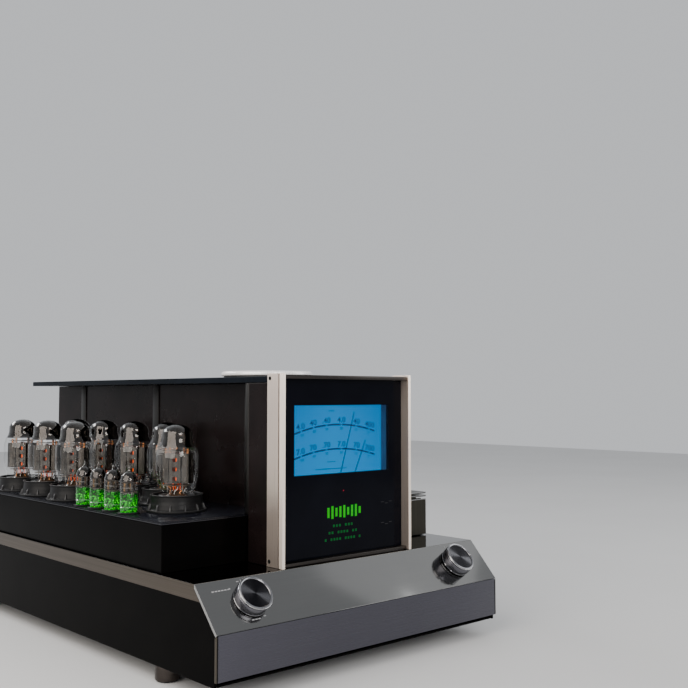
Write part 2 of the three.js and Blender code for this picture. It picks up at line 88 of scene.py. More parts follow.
class Shape:
    """Collects closed solids in one mesh. Every method takes the number of the material it uses."""

    def __init__(self):
        self.points = []
        self.faces = []
        self.slots = []

    def add(self, points, faces, slot=0, matrix=None):
        start = len(self.points)
        if matrix is not None:
            points = [matrix @ Vector(p) for p in points]
        self.points += [tuple(p) for p in points]
        self.faces += [[start + i for i in face] for face in faces]
        self.slots += [slot] * len(faces)
        return self

    def add_bmesh(self, bm, slot, matrix):
        bmesh.ops.recalc_face_normals(bm, faces=bm.faces)
        bm.verts.index_update()
        points = [v.co.copy() for v in bm.verts]
        faces = [[v.index for v in f.verts] for f in bm.faces]
        bm.free()
        return self.add(points, faces, slot, matrix)

    def lathe(self, profile, slot=0, matrix=None, segments=64, closed=False):
        """Turns [radius, height] points about Z. A point on the axis becomes a single vertex."""
        points = []
        rings = []
        for radius, height in profile:
            if radius < 1e-6:
                rings.append([len(points)] * segments)
                points.append((0, 0, height))
                continue
            rings.append([len(points) + i for i in range(segments)])
            points += [(x, y, height) for x, y in ellipse(segments, radius)]
        faces = []
        for low, high in zip(rings, rings[1:] + rings[:1] if closed else rings[1:]):
            for i in range(segments):
                j = (i + 1) % segments
                corners = [low[i], low[j], high[j], high[i]]
                face = [c for k, c in enumerate(corners) if c not in corners[:k]]
                if len(face) > 2:
                    faces.append(face)
        return self.add(points, faces, slot, matrix)

    def box(self, lo, hi, slot=0, matrix=None, bevel=0.0, segments=2):
        """A block between two corners, with its edges rounded by the bevel."""
        bm = bmesh.new()
        bmesh.ops.create_cube(bm, size=1)
        lo, hi = Vector(lo), Vector(hi)
        for v in bm.verts:
            v.co = Vector((v.co[k] * (hi[k] - lo[k]) + (hi[k] + lo[k]) / 2 for k in range(3)))
        if bevel:
            bmesh.ops.bevel(bm, geom=bm.edges[:], offset=bevel, segments=segments, profile=0.5,
                            affect="EDGES")
        return self.add_bmesh(bm, slot, matrix)

    def prism(self, outline, low, high, slot=0, matrix=None, bevel=0.0):
        """Extrudes a flat [x, y] outline from height low to high, with rounded rims and corners."""
        bm = bmesh.new()
        face = bm.faces.new([bm.verts.new((x, y, low)) for x, y in outline])
        lifted = bmesh.ops.extrude_face_region(bm, geom=[face])["geom"]
        for v in lifted:
            if isinstance(v, bmesh.types.BMVert):
                v.co.z = high
        if bevel:
            sharp = [e for e in bm.edges if len(e.link_faces) == 2 and e.calc_face_angle() > 0.5]
            bmesh.ops.bevel(bm, geom=sharp, offset=bevel, segments=2, profile=0.5, affect="EDGES")
        return self.add_bmesh(bm, slot, matrix)

    def rod(self, start, end, radius, slot=0, segments=16):
        """A straight round bar between two points."""
        start, end = Vector(start), Vector(end)
        turn = (end - start).to_track_quat("Z", "Y").to_matrix().to_4x4()
        length = (end - start).length
        profile = [(0, 0), (radius, 0), (radius, length), (0, length)]
        return self.lathe(profile, slot, Matrix.Translation(start) @ turn, segments)

    def sweep(self, path, radius, slot=0, segments=10):
        """A round bar along a list of points, capped at both ends."""
        path = [Vector(p) for p in path]
        points = []
        for i, p in enumerate(path):
            ahead = path[min(i + 1, len(path) - 1)] - path[max(i - 1, 0)]
            turn = ahead.to_track_quat("Z", "Y")
            points += [p + turn @ Vector((x, y, 0)) for x, y in ellipse(segments, radius)]
        faces = [list(range(segments))[::-1]]
        for i in range(len(path) - 1):
            low, high = i * segments, (i + 1) * segments
            for k in range(segments):
                n = (k + 1) % segments
                faces.append([low + k, low + n, high + n, high + k])
        faces.append([(len(path) - 1) * segments + k for k in range(segments)])
        return self.add(points, faces, slot)

    def screw(self, x, y, z, side, slot, radius):
        """A low socket-head screw in a face that looks along X."""
        turn = Matrix.Translation(Vector((x, y, z))) @ Matrix.Rotation(side * math.pi / 2, 4, "Y")
        head = [(0, -1.5), (radius, -1.5), (radius, 0.15), (radius - 0.25, 0.3), (radius * 0.55, 0.3),
                (radius * 0.5, 0.06), (0, 0.06)]
        return self.lathe(head, slot, turn, segments=32)

    def socket_plate(self, xs, ys, zs, hole):
        """A block with a shaped well right through its middle, standing off a wall that faces +Y."""
        bm = bmesh.new()
        corners = [(xs[0], zs[0]), (xs[1], zs[0]), (xs[1], zs[1]), (xs[0], zs[1])]
        well = [(sum(xs) / 2 + a, sum(zs) / 2 + b) for a, b in hole]
        loops = []
        for y in ys:
            outer = [bm.verts.new((x, y, z)) for x, z in corners]
            inner = [bm.verts.new((x, y, z)) for x, z in well]
            edges = [bm.edges.new((ring[i], ring[(i + 1) % len(ring)])) for ring in (outer, inner)
                     for i in range(len(ring))]
            bmesh.ops.triangle_fill(bm, use_beauty=True, edges=edges)
            loops.append((outer, inner))
        for low, high in zip(*loops):
            for i in range(len(low)):
                j = (i + 1) % len(low)
                bm.faces.new((low[i], low[j], high[j], high[i]))
        return self.add_bmesh(bm, 0, None)

    def build(self, name, materials, matrix, angle):
        """Makes the object in metres. Edges sharper than the angle stay sharp."""
        mesh = bpy.data.meshes.new(name)
        mesh.from_pydata([tuple(c * MM for c in p) for p in self.points], [], self.faces)
        mesh.polygons.foreach_set("material_index", self.slots)
        for material in materials:
            mesh.materials.append(material)
        mesh.validate()
        mesh.polygons.foreach_set("use_smooth", [True] * len(mesh.polygons))
        mesh.set_sharp_from_angle(angle=math.radians(angle))
        piece = bpy.data.objects.new(name, mesh)
        bpy.context.scene.collection.objects.link(piece)
        piece.matrix_world = matrix
        return piece


def place(x, y, z, turn=0.0):
    """A matrix for a piece that stands upright at a point, turned about Z."""
    return Matrix.Translation(at(x, y, z)) @ Matrix.Rotation(turn, 4, "Z")


def settle(piece, body=ROOT, replaces=()):
    """Says what the piece rides on and which CAD nodes it stands for."""
    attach(piece, body)
    if replaces:
        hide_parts(*replaces)


def put(shape, name, keys, matrix=ORIGIN, body=ROOT, replaces=(), angle=35):
    """Builds a shape with the finishes that the keys name, and settles it."""
    piece = shape.build(name, [MATERIALS[key] for key in keys], matrix, angle)
    settle(piece, body, replaces)


def arc(cx, cy, radius, start, end, count):
    """Points on an arc, angles in degrees."""
    angles = [math.radians(start + (end - start) * i / count) for i in range(count + 1)]
    return [(cx + radius * math.cos(a), cy + radius * math.sin(a)) for a in angles]


def ellipse(count, across, along=None, start=0.0):
    """Points evenly round a circle or an ellipse about zero, the start in radians."""
    along = across if along is None else along
    angles = [start + 2 * math.pi * k / count for k in range(count)]
    return [(across * math.cos(a), along * math.sin(a)) for a in angles]


def bevel_matrix(x, along):
    """A place on the sloping front: X across, local Y up the slope, local Z out of it."""
    tilted = Matrix.Translation(at(0, 0, BEVEL_LOW_Z)) @ Matrix.Rotation(BEVEL_ANGLE, 4, "X")
    return tilted @ Matrix.Translation((x * MM, along * MM, 0))


# ---------------------------------------------------------------- materials


class Finish:
    """A material and short ways to add nodes to it."""

    def __init__(self, name, colour, roughness=0.4, metallic=0.0):
        self.material = bpy.data.materials.new(name)
        self.material.use_nodes = True
        self.tree = self.material.node_tree
        self.shader = self.tree.nodes["Principled BSDF"]
        self.set("Base Color", (*colour, 1))
        self.set("Roughness", roughness)
        self.set("Metallic", metallic)

    def set(self, socket, value):
        self.shader.inputs[socket].default_value = value

    def link(self, source, socket):
        target = self.shader.inputs[socket] if isinstance(socket, str) else socket
        self.tree.links.new(source, target)

    def node(self, kind, **inputs):
        made = self.tree.nodes.new(kind)
        for key, value in inputs.items():
            socket = made.inputs[key.replace("_", " ")]
            if isinstance(value, bpy.types.NodeSocket):
                self.tree.links.new(value, socket)
            else:
                socket.default_value = value
        return made

    def coords(self, stretch=(1, 1, 1)):
        where = self.node("ShaderNodeTexCoord").outputs["Object"]
        return self.node("ShaderNodeMapping", Vector=where, Scale=stretch).outputs["Vector"]

    def noise(self, scale, detail=3.0, stretch=(1, 1, 1), roughness=0.55):
        made = self.node("ShaderNodeTexNoise", Vector=self.coords(stretch), Scale=scale, Detail=detail,
                         Roughness=roughness)
        return made.outputs["Fac"]

    def remap(self, value, low, high, from_low=0.0, from_high=1.0):
        made = self.node("ShaderNodeMapRange", Value=value, From_Min=from_low, From_Max=from_high,
                         To_Min=low, To_Max=high)
        return made.outputs["Result"]

    def ramp(self, value, *stops):
        made = self.node("ShaderNodeValToRGB", Fac=value)
        band = made.color_ramp
        while len(band.elements) < len(stops):
            band.elements.new(0.5)
        for element, (position, colour) in zip(band.elements, stops):
            element.position = position
            element.color = (*colour, 1)
        return made.outputs["Color"]

    def colour(self, value, *stops, socket="Base Color"):
        """Colours the surface along a ramp."""
        self.link(self.ramp(value, *stops), socket)

    def rough(self, value, low, high, from_low=0.3, from_high=0.7):
        """Varies the roughness with a value. The usual limits take in the middle of a noise."""
        self.link(self.remap(value, low, high, from_low, from_high), "Roughness")

    def math(self, operation, a, b=0.0):
        made = self.tree.nodes.new("ShaderNodeMath")
        made.operation = operation
        for socket, value in zip(made.inputs, (a, b)):
            if isinstance(value, bpy.types.NodeSocket):
                self.tree.links.new(value, socket)
            else:
                socket.default_value = value
        return made.outputs["Value"]

    def weighted(self, a, a_weight, b, b_weight):
        """The sum of two values, each multiplied by its weight."""
        return self.math("ADD", self.math("MULTIPLY", a, a_weight), self.math("MULTIPLY", b, b_weight))

    def bump(self, height, strength, distance):
        made = self.node("ShaderNodeBump", Height=height, Strength=strength, Distance=distance)
        self.link(made.outputs["Normal"], "Normal")

    def axis(self, name, source="Object"):
        where = self.node("ShaderNodeTexCoord").outputs[source]
        return self.node("ShaderNodeSeparateXYZ", Vector=where).outputs[name]


def brushed(name, dark, light, grain, roughness=(0.25, 0.42), bump=0.06, metallic=1.0):
    """Metal with a fine grain. The grain gives the noise's stretch, which is smallest along it."""
    f = Finish(name, light, metallic=metallic)
    lines = f.noise(1, 6, grain, 0.7)
    f.colour(f.weighted(lines, 0.65, f.noise(9, 2), 0.35), (0.3, dark), (0.7, light))
    f.rough(lines, *roughness)
    f.bump(lines, bump, 0.00005)
    return f.material


def painted(name, dark, light, roughness=(0.16, 0.26), shine=0.1):
    """Sprayed paint: faint mottling, a little orange peel and soft smears in the gloss."""
    f = Finish(name, dark)
    f.colour(f.noise(22.5), (0.3, dark), (0.75, light))
    f.rough(f.noise(14, 4), *roughness)
    f.bump(f.noise(450, 2), 0.05, 0.0002)
    f.set("Specular IOR Level", shine)
    return f.material


def plastic(name, dark, light, roughness=(0.4, 0.55), shine=0.35):
    """Moulded plastic with a fine spark-eroded texture."""
    f = Finish(name, dark)
    f.colour(f.noise(60), (0.3, dark), (0.7, light))
    f.rough(f.noise(30), *roughness)
    f.bump(f.noise(900, 2), 0.12, 0.0003)
    f.set("Specular IOR Level", shine)
    return f.material


def glowing(name, dark, light, strength, scale=400, contrast=(0.35, 0.65)):
    """Something lit from inside, brighter in places."""
    f = Finish(name, dark, 0.5)
    f.colour(f.noise(scale), (contrast[0], dark), (contrast[1], light), socket="Emission Color")
    f.colour(f.noise(scale), (0.3, [c * 0.06 for c in dark]), (0.7, [c * 0.1 for c in dark]))
    f.set("Emission Strength", strength)
    f.set("Specular IOR Level", 0.08)
    return f.material


def thin_glass(name, facing=0.035, edge=0.7, tint=(0.93, 0.95, 0.96)):
    """A thin bulb wall: nearly clear face on, and a mirror towards its edges."""
    f = Finish(name, tint, 0.03, 1.0)
    slope = f.node("ShaderNodeLayerWeight", Blend=0.5).outputs["Facing"]
    curve = f.math("POWER", slope, 3.2)
    smears = f.remap(f.noise(60), 0.75, 1.25, 0.3, 0.7)
    opacity = f.math("MULTIPLY", f.remap(curve, facing, edge), smears)
    f.link(f.math("MINIMUM", opacity, 1.0), "Alpha")
    f.rough(f.noise(90, 2), 0.01, 0.05)
    return f.material


RINGS_PER_METRE = 2400.0
# Angle of the painted highlight streak on a spun face, in radians.
PAINTED_STREAK_PHASE = 2.7


def turned_metal_with_painted_streak(name, dark, light):
    """A lathe-cut face: fine rings about the piece's own Z axis, and a highlight streak painted into its
    colour.
    """
    f = Finish(name, light, metallic=1.0)
    x, y = f.axis("X"), f.axis("Y")
    radius = f.math("SQRT", f.weighted(x, x, y, y))
    rings = f.math("SINE", f.math("MULTIPLY", radius, RINGS_PER_METRE * 2 * math.pi))
    angle = f.math("ARCTAN2", y, x)
    # The light band at two opposite angles is a painted highlight: a sheen fixed in the colour, turning
    # with the piece.
    painted_highlight_streaks = f.math("SINE", f.math("ADD", f.math("MULTIPLY", angle, 2.0), PAINTED_STREAK_PHASE))
    tone = f.math("ADD", f.remap(painted_highlight_streaks, 0.25, 0.75, -1, 1), f.math("MULTIPLY", rings, 0.04))
    middle_tone = [d + (l - d) * 0.12 for d, l in zip(dark, light)]
    f.colour(tone, (0.3, dark), (0.65, middle_tone), (0.78, light))
    f.rough(rings, 0.18, 0.32, -1, 1)
    f.bump(rings, 0.25, 0.00003)
    tangent = f.tree.nodes.new("ShaderNodeTangent")
    tangent.direction_type = "RADIAL"
    tangent.axis = "Z"
    f.link(tangent.outputs["Tangent"], "Tangent")
    f.set("Anisotropic", 0.75)
    return f.material


def deck_finish():
    """Polished steel on top; the folded lips at the sides are satin and warmer."""
    f = Finish("deck_polished_steel", (0.1, 0.1, 0.1), 0.06, 1.0)
    normal = f.node("ShaderNodeNewGeometry").outputs["Normal"]
    up = f.node("ShaderNodeSeparateXYZ", Vector=normal).outputs["Z"]
    flat = f.remap(f.math("ABSOLUTE", up), 0, 1, 0.4, 0.6)
    grain = f.noise(1, 5, (3, 4, 1500), 0.6)
    lip = f.ramp(grain, (0.3, (0.072, 0.059, 0.047)), (0.7, (0.115, 0.096, 0.078)))
    top = f.ramp(f.noise(12), (0.3, (0.055, 0.055, 0.058)), (0.7, (0.075, 0.074, 0.074)))
    mix = f.tree.nodes.new("ShaderNodeMix")
    mix.data_type = "RGBA"
    f.tree.links.new(flat, mix.inputs["Factor"])
    f.tree.links.new(lip, mix.inputs["A"])
    f.tree.links.new(top, mix.inputs["B"])
    f.link(mix.outputs["Result"], "Base Color")
    f.rough(flat, 0.36, 0.06, 0, 1)
    f.bump(f.noise(35, 2), 0.015, 0.0004)
    return f.material


def getter_finish(name, low, high):
    """A mirror film inside the top of a bulb: smoky and uneven, thinning out towards its lower edge."""
    f = Finish(name, (0.2, 0.19, 0.18), 0.05, 1.0)
    smoke = f.noise(55, 2, (1, 1, 0.5))
    height = f.remap(f.axis("Z"), 0.0, 1.0, low, high)
    tone = f.weighted(smoke, 0.7, height, 0.15)
    f.colour(tone, (0.3, (0.014, 0.0105, 0.0085)), (0.5, (0.032, 0.026, 0.021)),
             (0.66, (0.065, 0.054, 0.045)))
    edge = f.weighted(height, 3.2, f.math("SUBTRACT", smoke, 0.5), 0.6)
    f.link(f.remap(edge, 0.9, 1.5, 0.0, 0.97), "Alpha")
    f.rough(f.noise(50, 2), 0.03, 0.06)
    return f.material


def black_glass_finish():
    """Glass painted black behind, nearly even, with faint smears."""
    f = Finish("front_glass_black", (0.006, 0.006, 0.008), 0.04)
    f.colour(f.noise(20), (0.3, (0.0016, 0.0018, 0.0036)), (0.7, (0.0026, 0.003, 0.0054)))
    f.rough(f.noise(30, 4), 0.03, 0.07)
    f.set("Specular IOR Level", 0.05)
    return f.material


def sparkling_green_finish():
    """Green light in cut glass: bright facets, see-through gaps and dark lines between them."""
    f = Finish("tube_green_light", (0.0, 0.3, 0.02), 0.4)
    cells = f.node("ShaderNodeTexVoronoi", Vector=f.coords(), Scale=380.0).outputs["Distance"]
    glint = f.noise(520, 2)
    fade = f.remap(f.axis("Z"), 1.1, 0.78, 0.015, 0.0226)
    tone = f.math("MULTIPLY", f.math("MULTIPLY", f.math("SUBTRACT", 1.1, cells), glint), fade)
    f.colour(tone, (0.25, (0.0, 0.012, 0.0)), (0.4, (0.0, 0.36, 0.003)), (0.58, (0.015, 0.85, 0.008)),
             socket="Emission Color")
    f.colour(tone, (0.3, (0.0, 0.01, 0.0)), (0.6, (0.0, 0.03, 0.002)))
    f.link(f.remap(tone, 0.55, 1.0, 0.3, 0.45), "Alpha")
    f.set("Emission Strength", 0.92)
    f.set("Specular IOR Level", 0.1)
    return f.material


def dial_finish():
    """The lit scale: deep cyan, brighter in the middle, with a fine paper-like diffuser grain."""
    f = Finish("dial_lit_cyan", (0.0, 0.2, 0.5), 0.6)
    centred = f.math("ABSOLUTE", f.math("SUBTRACT", f.axis("X", "Generated"), 0.5))
    darker_up = f.remap(f.axis("Z", "Generated"), 1.0, 0.8)
    fade = f.math("SUBTRACT", darker_up, f.math("MULTIPLY", centred, 0.35))
    grain = f.remap(f.noise(700, 2), 0.97, 1.03, 0.3, 0.7)
    tone = f.math("MULTIPLY", fade, grain)
    f.colour(tone, (0.45, (0.0, 0.125, 0.40)), (0.95, (0.0, 0.225, 0.57)), socket="Emission Color")
    f.colour(tone, (0.45, (0.0, 0.005, 0.02)), (0.95, (0.0, 0.01, 0.03)))
    f.set("Specular IOR Level", 0.05)
    f.set("Emission Strength", 1.1)
    return f.material


def speckled_plate_finish():
    """The dark glossy sheet that the tubes stand on, with fine bright specks."""
    f = Finish("tube_plate_speckled", (0.02, 0.022, 0.03), 0.18)
    f.set("Specular IOR Level", 0.07)
    specks = f.noise(2600, 2)
    f.colour(specks, (0.58, (0.003, 0.003, 0.005)), (0.74, (0.07, 0.08, 0.11)))
    f.rough(f.noise(40), 0.12, 0.24)
    f.bump(specks, 0.08, 0.0002)
    return f.material


MATERIALS = {
    "bevel": brushed("bevel_polished_titanium", (0.16, 0.161, 0.16), (0.187, 0.187, 0.184),
                     (6, 1600, 1600), (0.09, 0.125), 0.012),
    # A lighter copy of the bevel finish for its top and end strips: a painted edge highlight.
    "bevel_edge": brushed("bevel_painted_edge_highlight", (0.3, 0.3, 0.295), (0.45, 0.45, 0.44), (5, 900, 900),
                          (0.15, 0.3)),
    "front": brushed("front_blue_steel", (0.078, 0.077, 0.094), (0.09, 0.089, 0.108),
                     (5, 1500, 1500), (0.24, 0.3), 0.012),
    "front_edge": brushed("front_bronze_edge", (0.06, 0.052, 0.04), (0.1, 0.086, 0.068), (5, 900, 900)),
    "deck": deck_finish(),
    "paint": painted("chassis_black_gloss", (0.001, 0.0009, 0.0009), (0.0019, 0.0017, 0.0016),
                     shine=0.02),
    "spine": painted("spine_black_anodised", (0.004, 0.0027, 0.0027), (0.0095, 0.006, 0.006),
                     (0.22, 0.34)),
    "cover": painted("cover_blue_black", (0.003, 0.0045, 0.007), (0.005, 0.0072, 0.011),
                     (0.2, 0.3), 0.05),
    "upright": brushed("upright_grey_anodised", (0.03, 0.029, 0.028), (0.06, 0.057, 0.054),
                       (900, 900, 6), (0.3, 0.45)),
    "champagne": brushed("post_champagne", (0.66, 0.55, 0.47), (0.8, 0.69, 0.61),
                         (1300, 1300, 5), (0.26, 0.36), 0.04, 0.82),
    # A lighter, less metallic copy of the post finish: painted light on the front faces of the posts.
    "champagne_painted_light": brushed("post_front_champagne_painted_light", (0.9, 0.78, 0.67), (0.98, 0.87, 0.77),
                                (1300, 1300, 5), (0.3, 0.4), 0.04, 0.5),
    "groove": painted("groove_black", (0.01, 0.01, 0.01), (0.02, 0.02, 0.02), (0.5, 0.6)),
    "rail": brushed("rail_bronze", (0.036, 0.032, 0.03), (0.062, 0.055, 0.05), (6, 1400, 1400)),
    "black_glass": black_glass_finish(),
    "clear_glass": thin_glass("meter_window_clear", 0.004, 0.12, (0.9, 0.95, 1.0)),
    "case": plastic("meter_case_dark", (0.01, 0.05, 0.12), (0.015, 0.08, 0.18)),
    "dial": dial_finish(),
    "ink": plastic("needle_dark", (0.0, 0.002, 0.008), (0.0005, 0.004, 0.013), shine=0.03),
    "dial_print": glowing("dial_print_blue", (0.0, 0.024, 0.09), (0.0, 0.032, 0.115), 0.9),
    "dial_number": glowing("dial_number_blue", (0.0, 0.036, 0.13), (0.0, 0.046, 0.16), 0.95),
    "dial_faint": glowing("dial_print_faint", (0.0, 0.06, 0.20), (0.0, 0.075, 0.24), 0.95),
    "disc": brushed("disc_silver", (0.88, 0.87, 0.86), (0.98, 0.97, 0.96),
                    (700, 700, 700), (0.2, 0.35), 0.03, 0.3),
    "plate": speckled_plate_finish(),
    "plate_edge": brushed("plate_edge_grey", (0.05, 0.05, 0.056), (0.085, 0.085, 0.092), (20, 20, 900)),
    "guard": plastic("guard_dark_grey", (0.0065, 0.0065, 0.007), (0.011, 0.011, 0.0115),
                     (0.34, 0.46), 0.12),
    # A lighter copy of the guard plastic for the rim rolls and gussets: a painted highlight.
    "guard_edge": plastic("guard_painted_highlight_edge", (0.028, 0.028, 0.029), (0.045, 0.045, 0.047),
                          (0.3, 0.4), 0.3),
    "glass": thin_glass("bulb_glass"),
    "getter": getter_finish("getter_mirror", 0.081, 0.089),
    "small_getter": getter_finish("small_getter_mirror", 0.038, 0.043),
    "stem": plastic("stem_smoky", (0.02, 0.014, 0.01), (0.09, 0.05, 0.03), (0.15, 0.3), 0.6),
    "brass": brushed("small_brass", (0.16, 0.09, 0.035), (0.34, 0.2, 0.09), (200, 200, 60), (0.2, 0.35)),
    "anode": brushed("anode_grey", (0.036, 0.032, 0.028), (0.115, 0.104, 0.092),
                     (300, 300, 60), (0.18, 0.3)),
    "mica": plastic("mica_smoky", (0.04, 0.032, 0.024), (0.09, 0.073, 0.056), (0.3, 0.45), 0.12),
    "copper": brushed("copper_rod", (0.38, 0.15, 0.06), (0.62, 0.28, 0.12), (200, 200, 40), (0.2, 0.3)),
    "nickel": brushed("nickel_wire", (0.2, 0.19, 0.18), (0.38, 0.37, 0.35), (200, 200, 40), (0.15, 0.3)),
    "heater": glowing("heater_orange", (0.55, 0.035, 0.002), (1.0, 0.13, 0.008), 1.3),
    "green": sparkling_green_finish(),
    "green_core": glowing("tube_green_core", (0.0, 0.5, 0.003), (0.06, 1.0, 0.04), 1.1, 900,
                          (0.42, 0.58)),
    "green_mark": glowing("mark_green", (0.0, 0.38, 0.005), (0.0, 0.48, 0.007), 1.0),
    "green_text": glowing("text_green", (0.0, 0.075, 0.012), (0.0, 0.11, 0.018), 1.0),
    "dim_mark": painted("mark_dim", (0.014, 0.014, 0.016), (0.024, 0.024, 0.027)),
    "led": glowing("led_red", (0.35, 0.003, 0.02), (0.55, 0.006, 0.03), 1.0),
    "print": painted("printed_pale", (0.25, 0.25, 0.26), (0.34, 0.34, 0.35), (0.4, 0.5)),
    "knob": brushed("knob_gunmetal", (0.1, 0.1, 0.114), (0.155, 0.155, 0.172),
                    (60, 60, 900), (0.2, 0.3), 0.04),
    "knob_rim": brushed("knob_dark_chrome", (0.2, 0.2, 0.21), (0.27, 0.27, 0.28),
                        (90, 90, 90), (0.05, 0.1), 0.01),
    # The spun face's lighter colour is its painted highlight streak.
    "knob_face": turned_metal_with_painted_streak("knob_spun_face_painted_streak", (0.007, 0.007, 0.009), (0.13, 0.13, 0.14)),
    # Bright chrome: the band on the small tubes, and a thin line round each knob's rim that is a painted
    # highlight.
    "chrome": brushed("chrome_band_and_knob_edge_highlight", (0.6, 0.6, 0.61), (0.78, 0.78, 0.79),
                      (90, 90, 90), (0.04, 0.12), 0.01),
    "foot": brushed("foot_bronze_grey", (0.043, 0.036, 0.033), (0.08, 0.069, 0.063), (60, 60, 900)),
    "rubber": plastic("rubber_black", (0.012, 0.012, 0.012), (0.02, 0.02, 0.02), (0.6, 0.75)),
    "fin": brushed("fin_anodised", (0.028, 0.026, 0.021), (0.055, 0.05, 0.04),
                   (900, 900, 8), (0.3, 0.42)),
    # A light finish for the thin edge strips of the heat sink and its cover: a painted edge highlight.
    "fin_edge": brushed("fin_painted_edge_highlight", (0.22, 0.22, 0.22), (0.32, 0.32, 0.32), (900, 9, 900)),
    "screw": painted("screw_black_oxide", (0.003, 0.003, 0.003), (0.007, 0.007, 0.007), (0.5, 0.62)),
    "gold": brushed("terminal_gold", (0.62, 0.4, 0.12), (0.85, 0.6, 0.25), (200, 200, 700),
                    (0.12, 0.22)),
    "socket": plastic("socket_black", (0.012, 0.012, 0.013), (0.022, 0.022, 0.023)),
    "red_ring": plastic("ring_red", (0.25, 0.01, 0.01), (0.35, 0.02, 0.02)),
    "core": painted("core_varnish", (0.03, 0.026, 0.022), (0.07, 0.06, 0.05), (0.4, 0.6)),
}


# ---------------------------------------------------------------- CAD nodes that stay


def dress(node, key):
    """Gives a CAD node its material."""
    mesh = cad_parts[node].data
    mesh.materials.clear()
    mesh.materials.append(MATERIALS[key])


def round_edges(node, width):
    """Breaks a CAD node's sharp edges with modifiers, which leaves its mesh alone."""
    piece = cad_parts[node]
    weld = piece.modifiers.new("weld", "WELD")
    weld.merge_threshold = 1e-5
    edges = piece.modifiers.new("edges", "BEVEL")
    edges.width = width * MM
    edges.segments = 2
    edges.limit_method = "ANGLE"
    edges.angle_limit = math.radians(35)
    edges.harden_normals = False
    piece.modifiers.new("shading", "WEIGHTED_NORMAL")


def dress_cad():
    """Finishes the nodes that Blender doesn't replace, and rounds the edges of those that show."""
    for key, rounding, nodes in (
            ("paint", 0.6, ("bottom_plate", "left_side_panel", "right_side_panel", "rear_panel")),
            ("paint", 0.8, ("tube_platform",)),
            ("spine", 0.8, ("tower_front_box", "spine_housing")),
            ("cover", 0.8, ("tower_top_cover",)),
            ("deck", 0.6, ("deck",)),
            ("case", 0, ("meter_case",)),
            ("socket", 0, ("meter_switch", "power_switch")),
            ("core", 0, ("power_transformer", "output_transformer"))):
        for node in nodes:
            dress(node, key)
            if rounding:
                round_edges(node, rounding)


# ---------------------------------------------------------------- stage and camera


CAMERA_PLACE = (-768.3, -787.7, 314.2)
CAMERA_YAW = math.radians(42.39)
CAMERA_PITCH = math.radians(3.16)
CAMERA_LENS = 48.8


def make_camera():
    """The main view, from low in front of the left corner."""
    data = bpy.data.cameras.new("photo_view")
    data.lens = CAMERA_LENS
    data.sensor_width = 36
    camera = bpy.data.objects.new("photo_view", data)
    camera.location = at(*CAMERA_PLACE)
    level = Vector((math.sin(CAMERA_YAW), math.cos(CAMERA_YAW), 0))
    ahead = level * math.cos(CAMERA_PITCH) + Vector((0, 0, math.sin(CAMERA_PITCH)))
    camera.rotation_euler = ahead.to_track_quat("-Z", "Y").to_euler()
    data.clip_end = 50
    bpy.context.scene.collection.objects.link(camera)
    bpy.context.scene.camera = camera


def make_light(name, place_at, target, size, power, colour=(1, 1, 1)):
    data = bpy.data.lights.new(name, "AREA")
    data.shape = "RECTANGLE"
    data.size, data.size_y = size
    data.energy = power
    data.color = colour
    light = bpy.data.objects.new(name, data)
    light.location = place_at
    light.rotation_euler = (Vector(target) - Vector(place_at)).to_track_quat("-Z", "Y").to_euler()
    bpy.context.scene.collection.objects.link(light)


def make_stage():
    """A pale floor under a soft sky, with five large lights round the object."""
    world = bpy.data.worlds.new("studio")
    bpy.context.scene.world = world
    world.use_nodes = True
    back = world.node_tree.nodes["Background"]
    back.inputs["Color"].default_value = (0.88, 0.90, 0.93, 1)
    back.inputs["Strength"].default_value = 0.72
    just_below_feet = Matrix.Translation((0, 0, -0.0002))
    slab = Shape().box((-4000, -4000, -20), (4000, 4000, 0))
    floor = slab.build("floor", [stage_finish()], just_below_feet, 35)
    make_light("key", (-1.3, -0.45, 0.86), (0, 0, 0.25), (1.5, 1.3), 27, (1.0, 0.93, 0.85))
    make_light("front", (-0.4, -2.2, 0.9), (0, 0, 0.2), (0.8, 0.9), 20, (1.0, 0.97, 0.94))
    make_light("fill", (1.8, -1.5, 1.1), (0, 0, 0.2), (1.2, 1.2), 12)
    make_light("panel", (2.3, -0.45, 2.0), (0, 0, 0.1), (1.6, 1.6), 4)
    make_light("rim", (-0.9, 1.7, 1.5), (0, 0, 0.3), (1.4, 0.5), 22)


def stage_finish():
    """A matt pale floor."""
    f = Finish("floor_pale", (0.62, 0.62, 0.62), 0.75)
    f.colour(f.noise(3, 2), (0.2, (0.60, 0.60, 0.60)), (0.8, (0.64, 0.64, 0.64)))
    return f.material


# ---------------------------------------------------------------- chassis front


PLATE_THICKNESS = 3.0


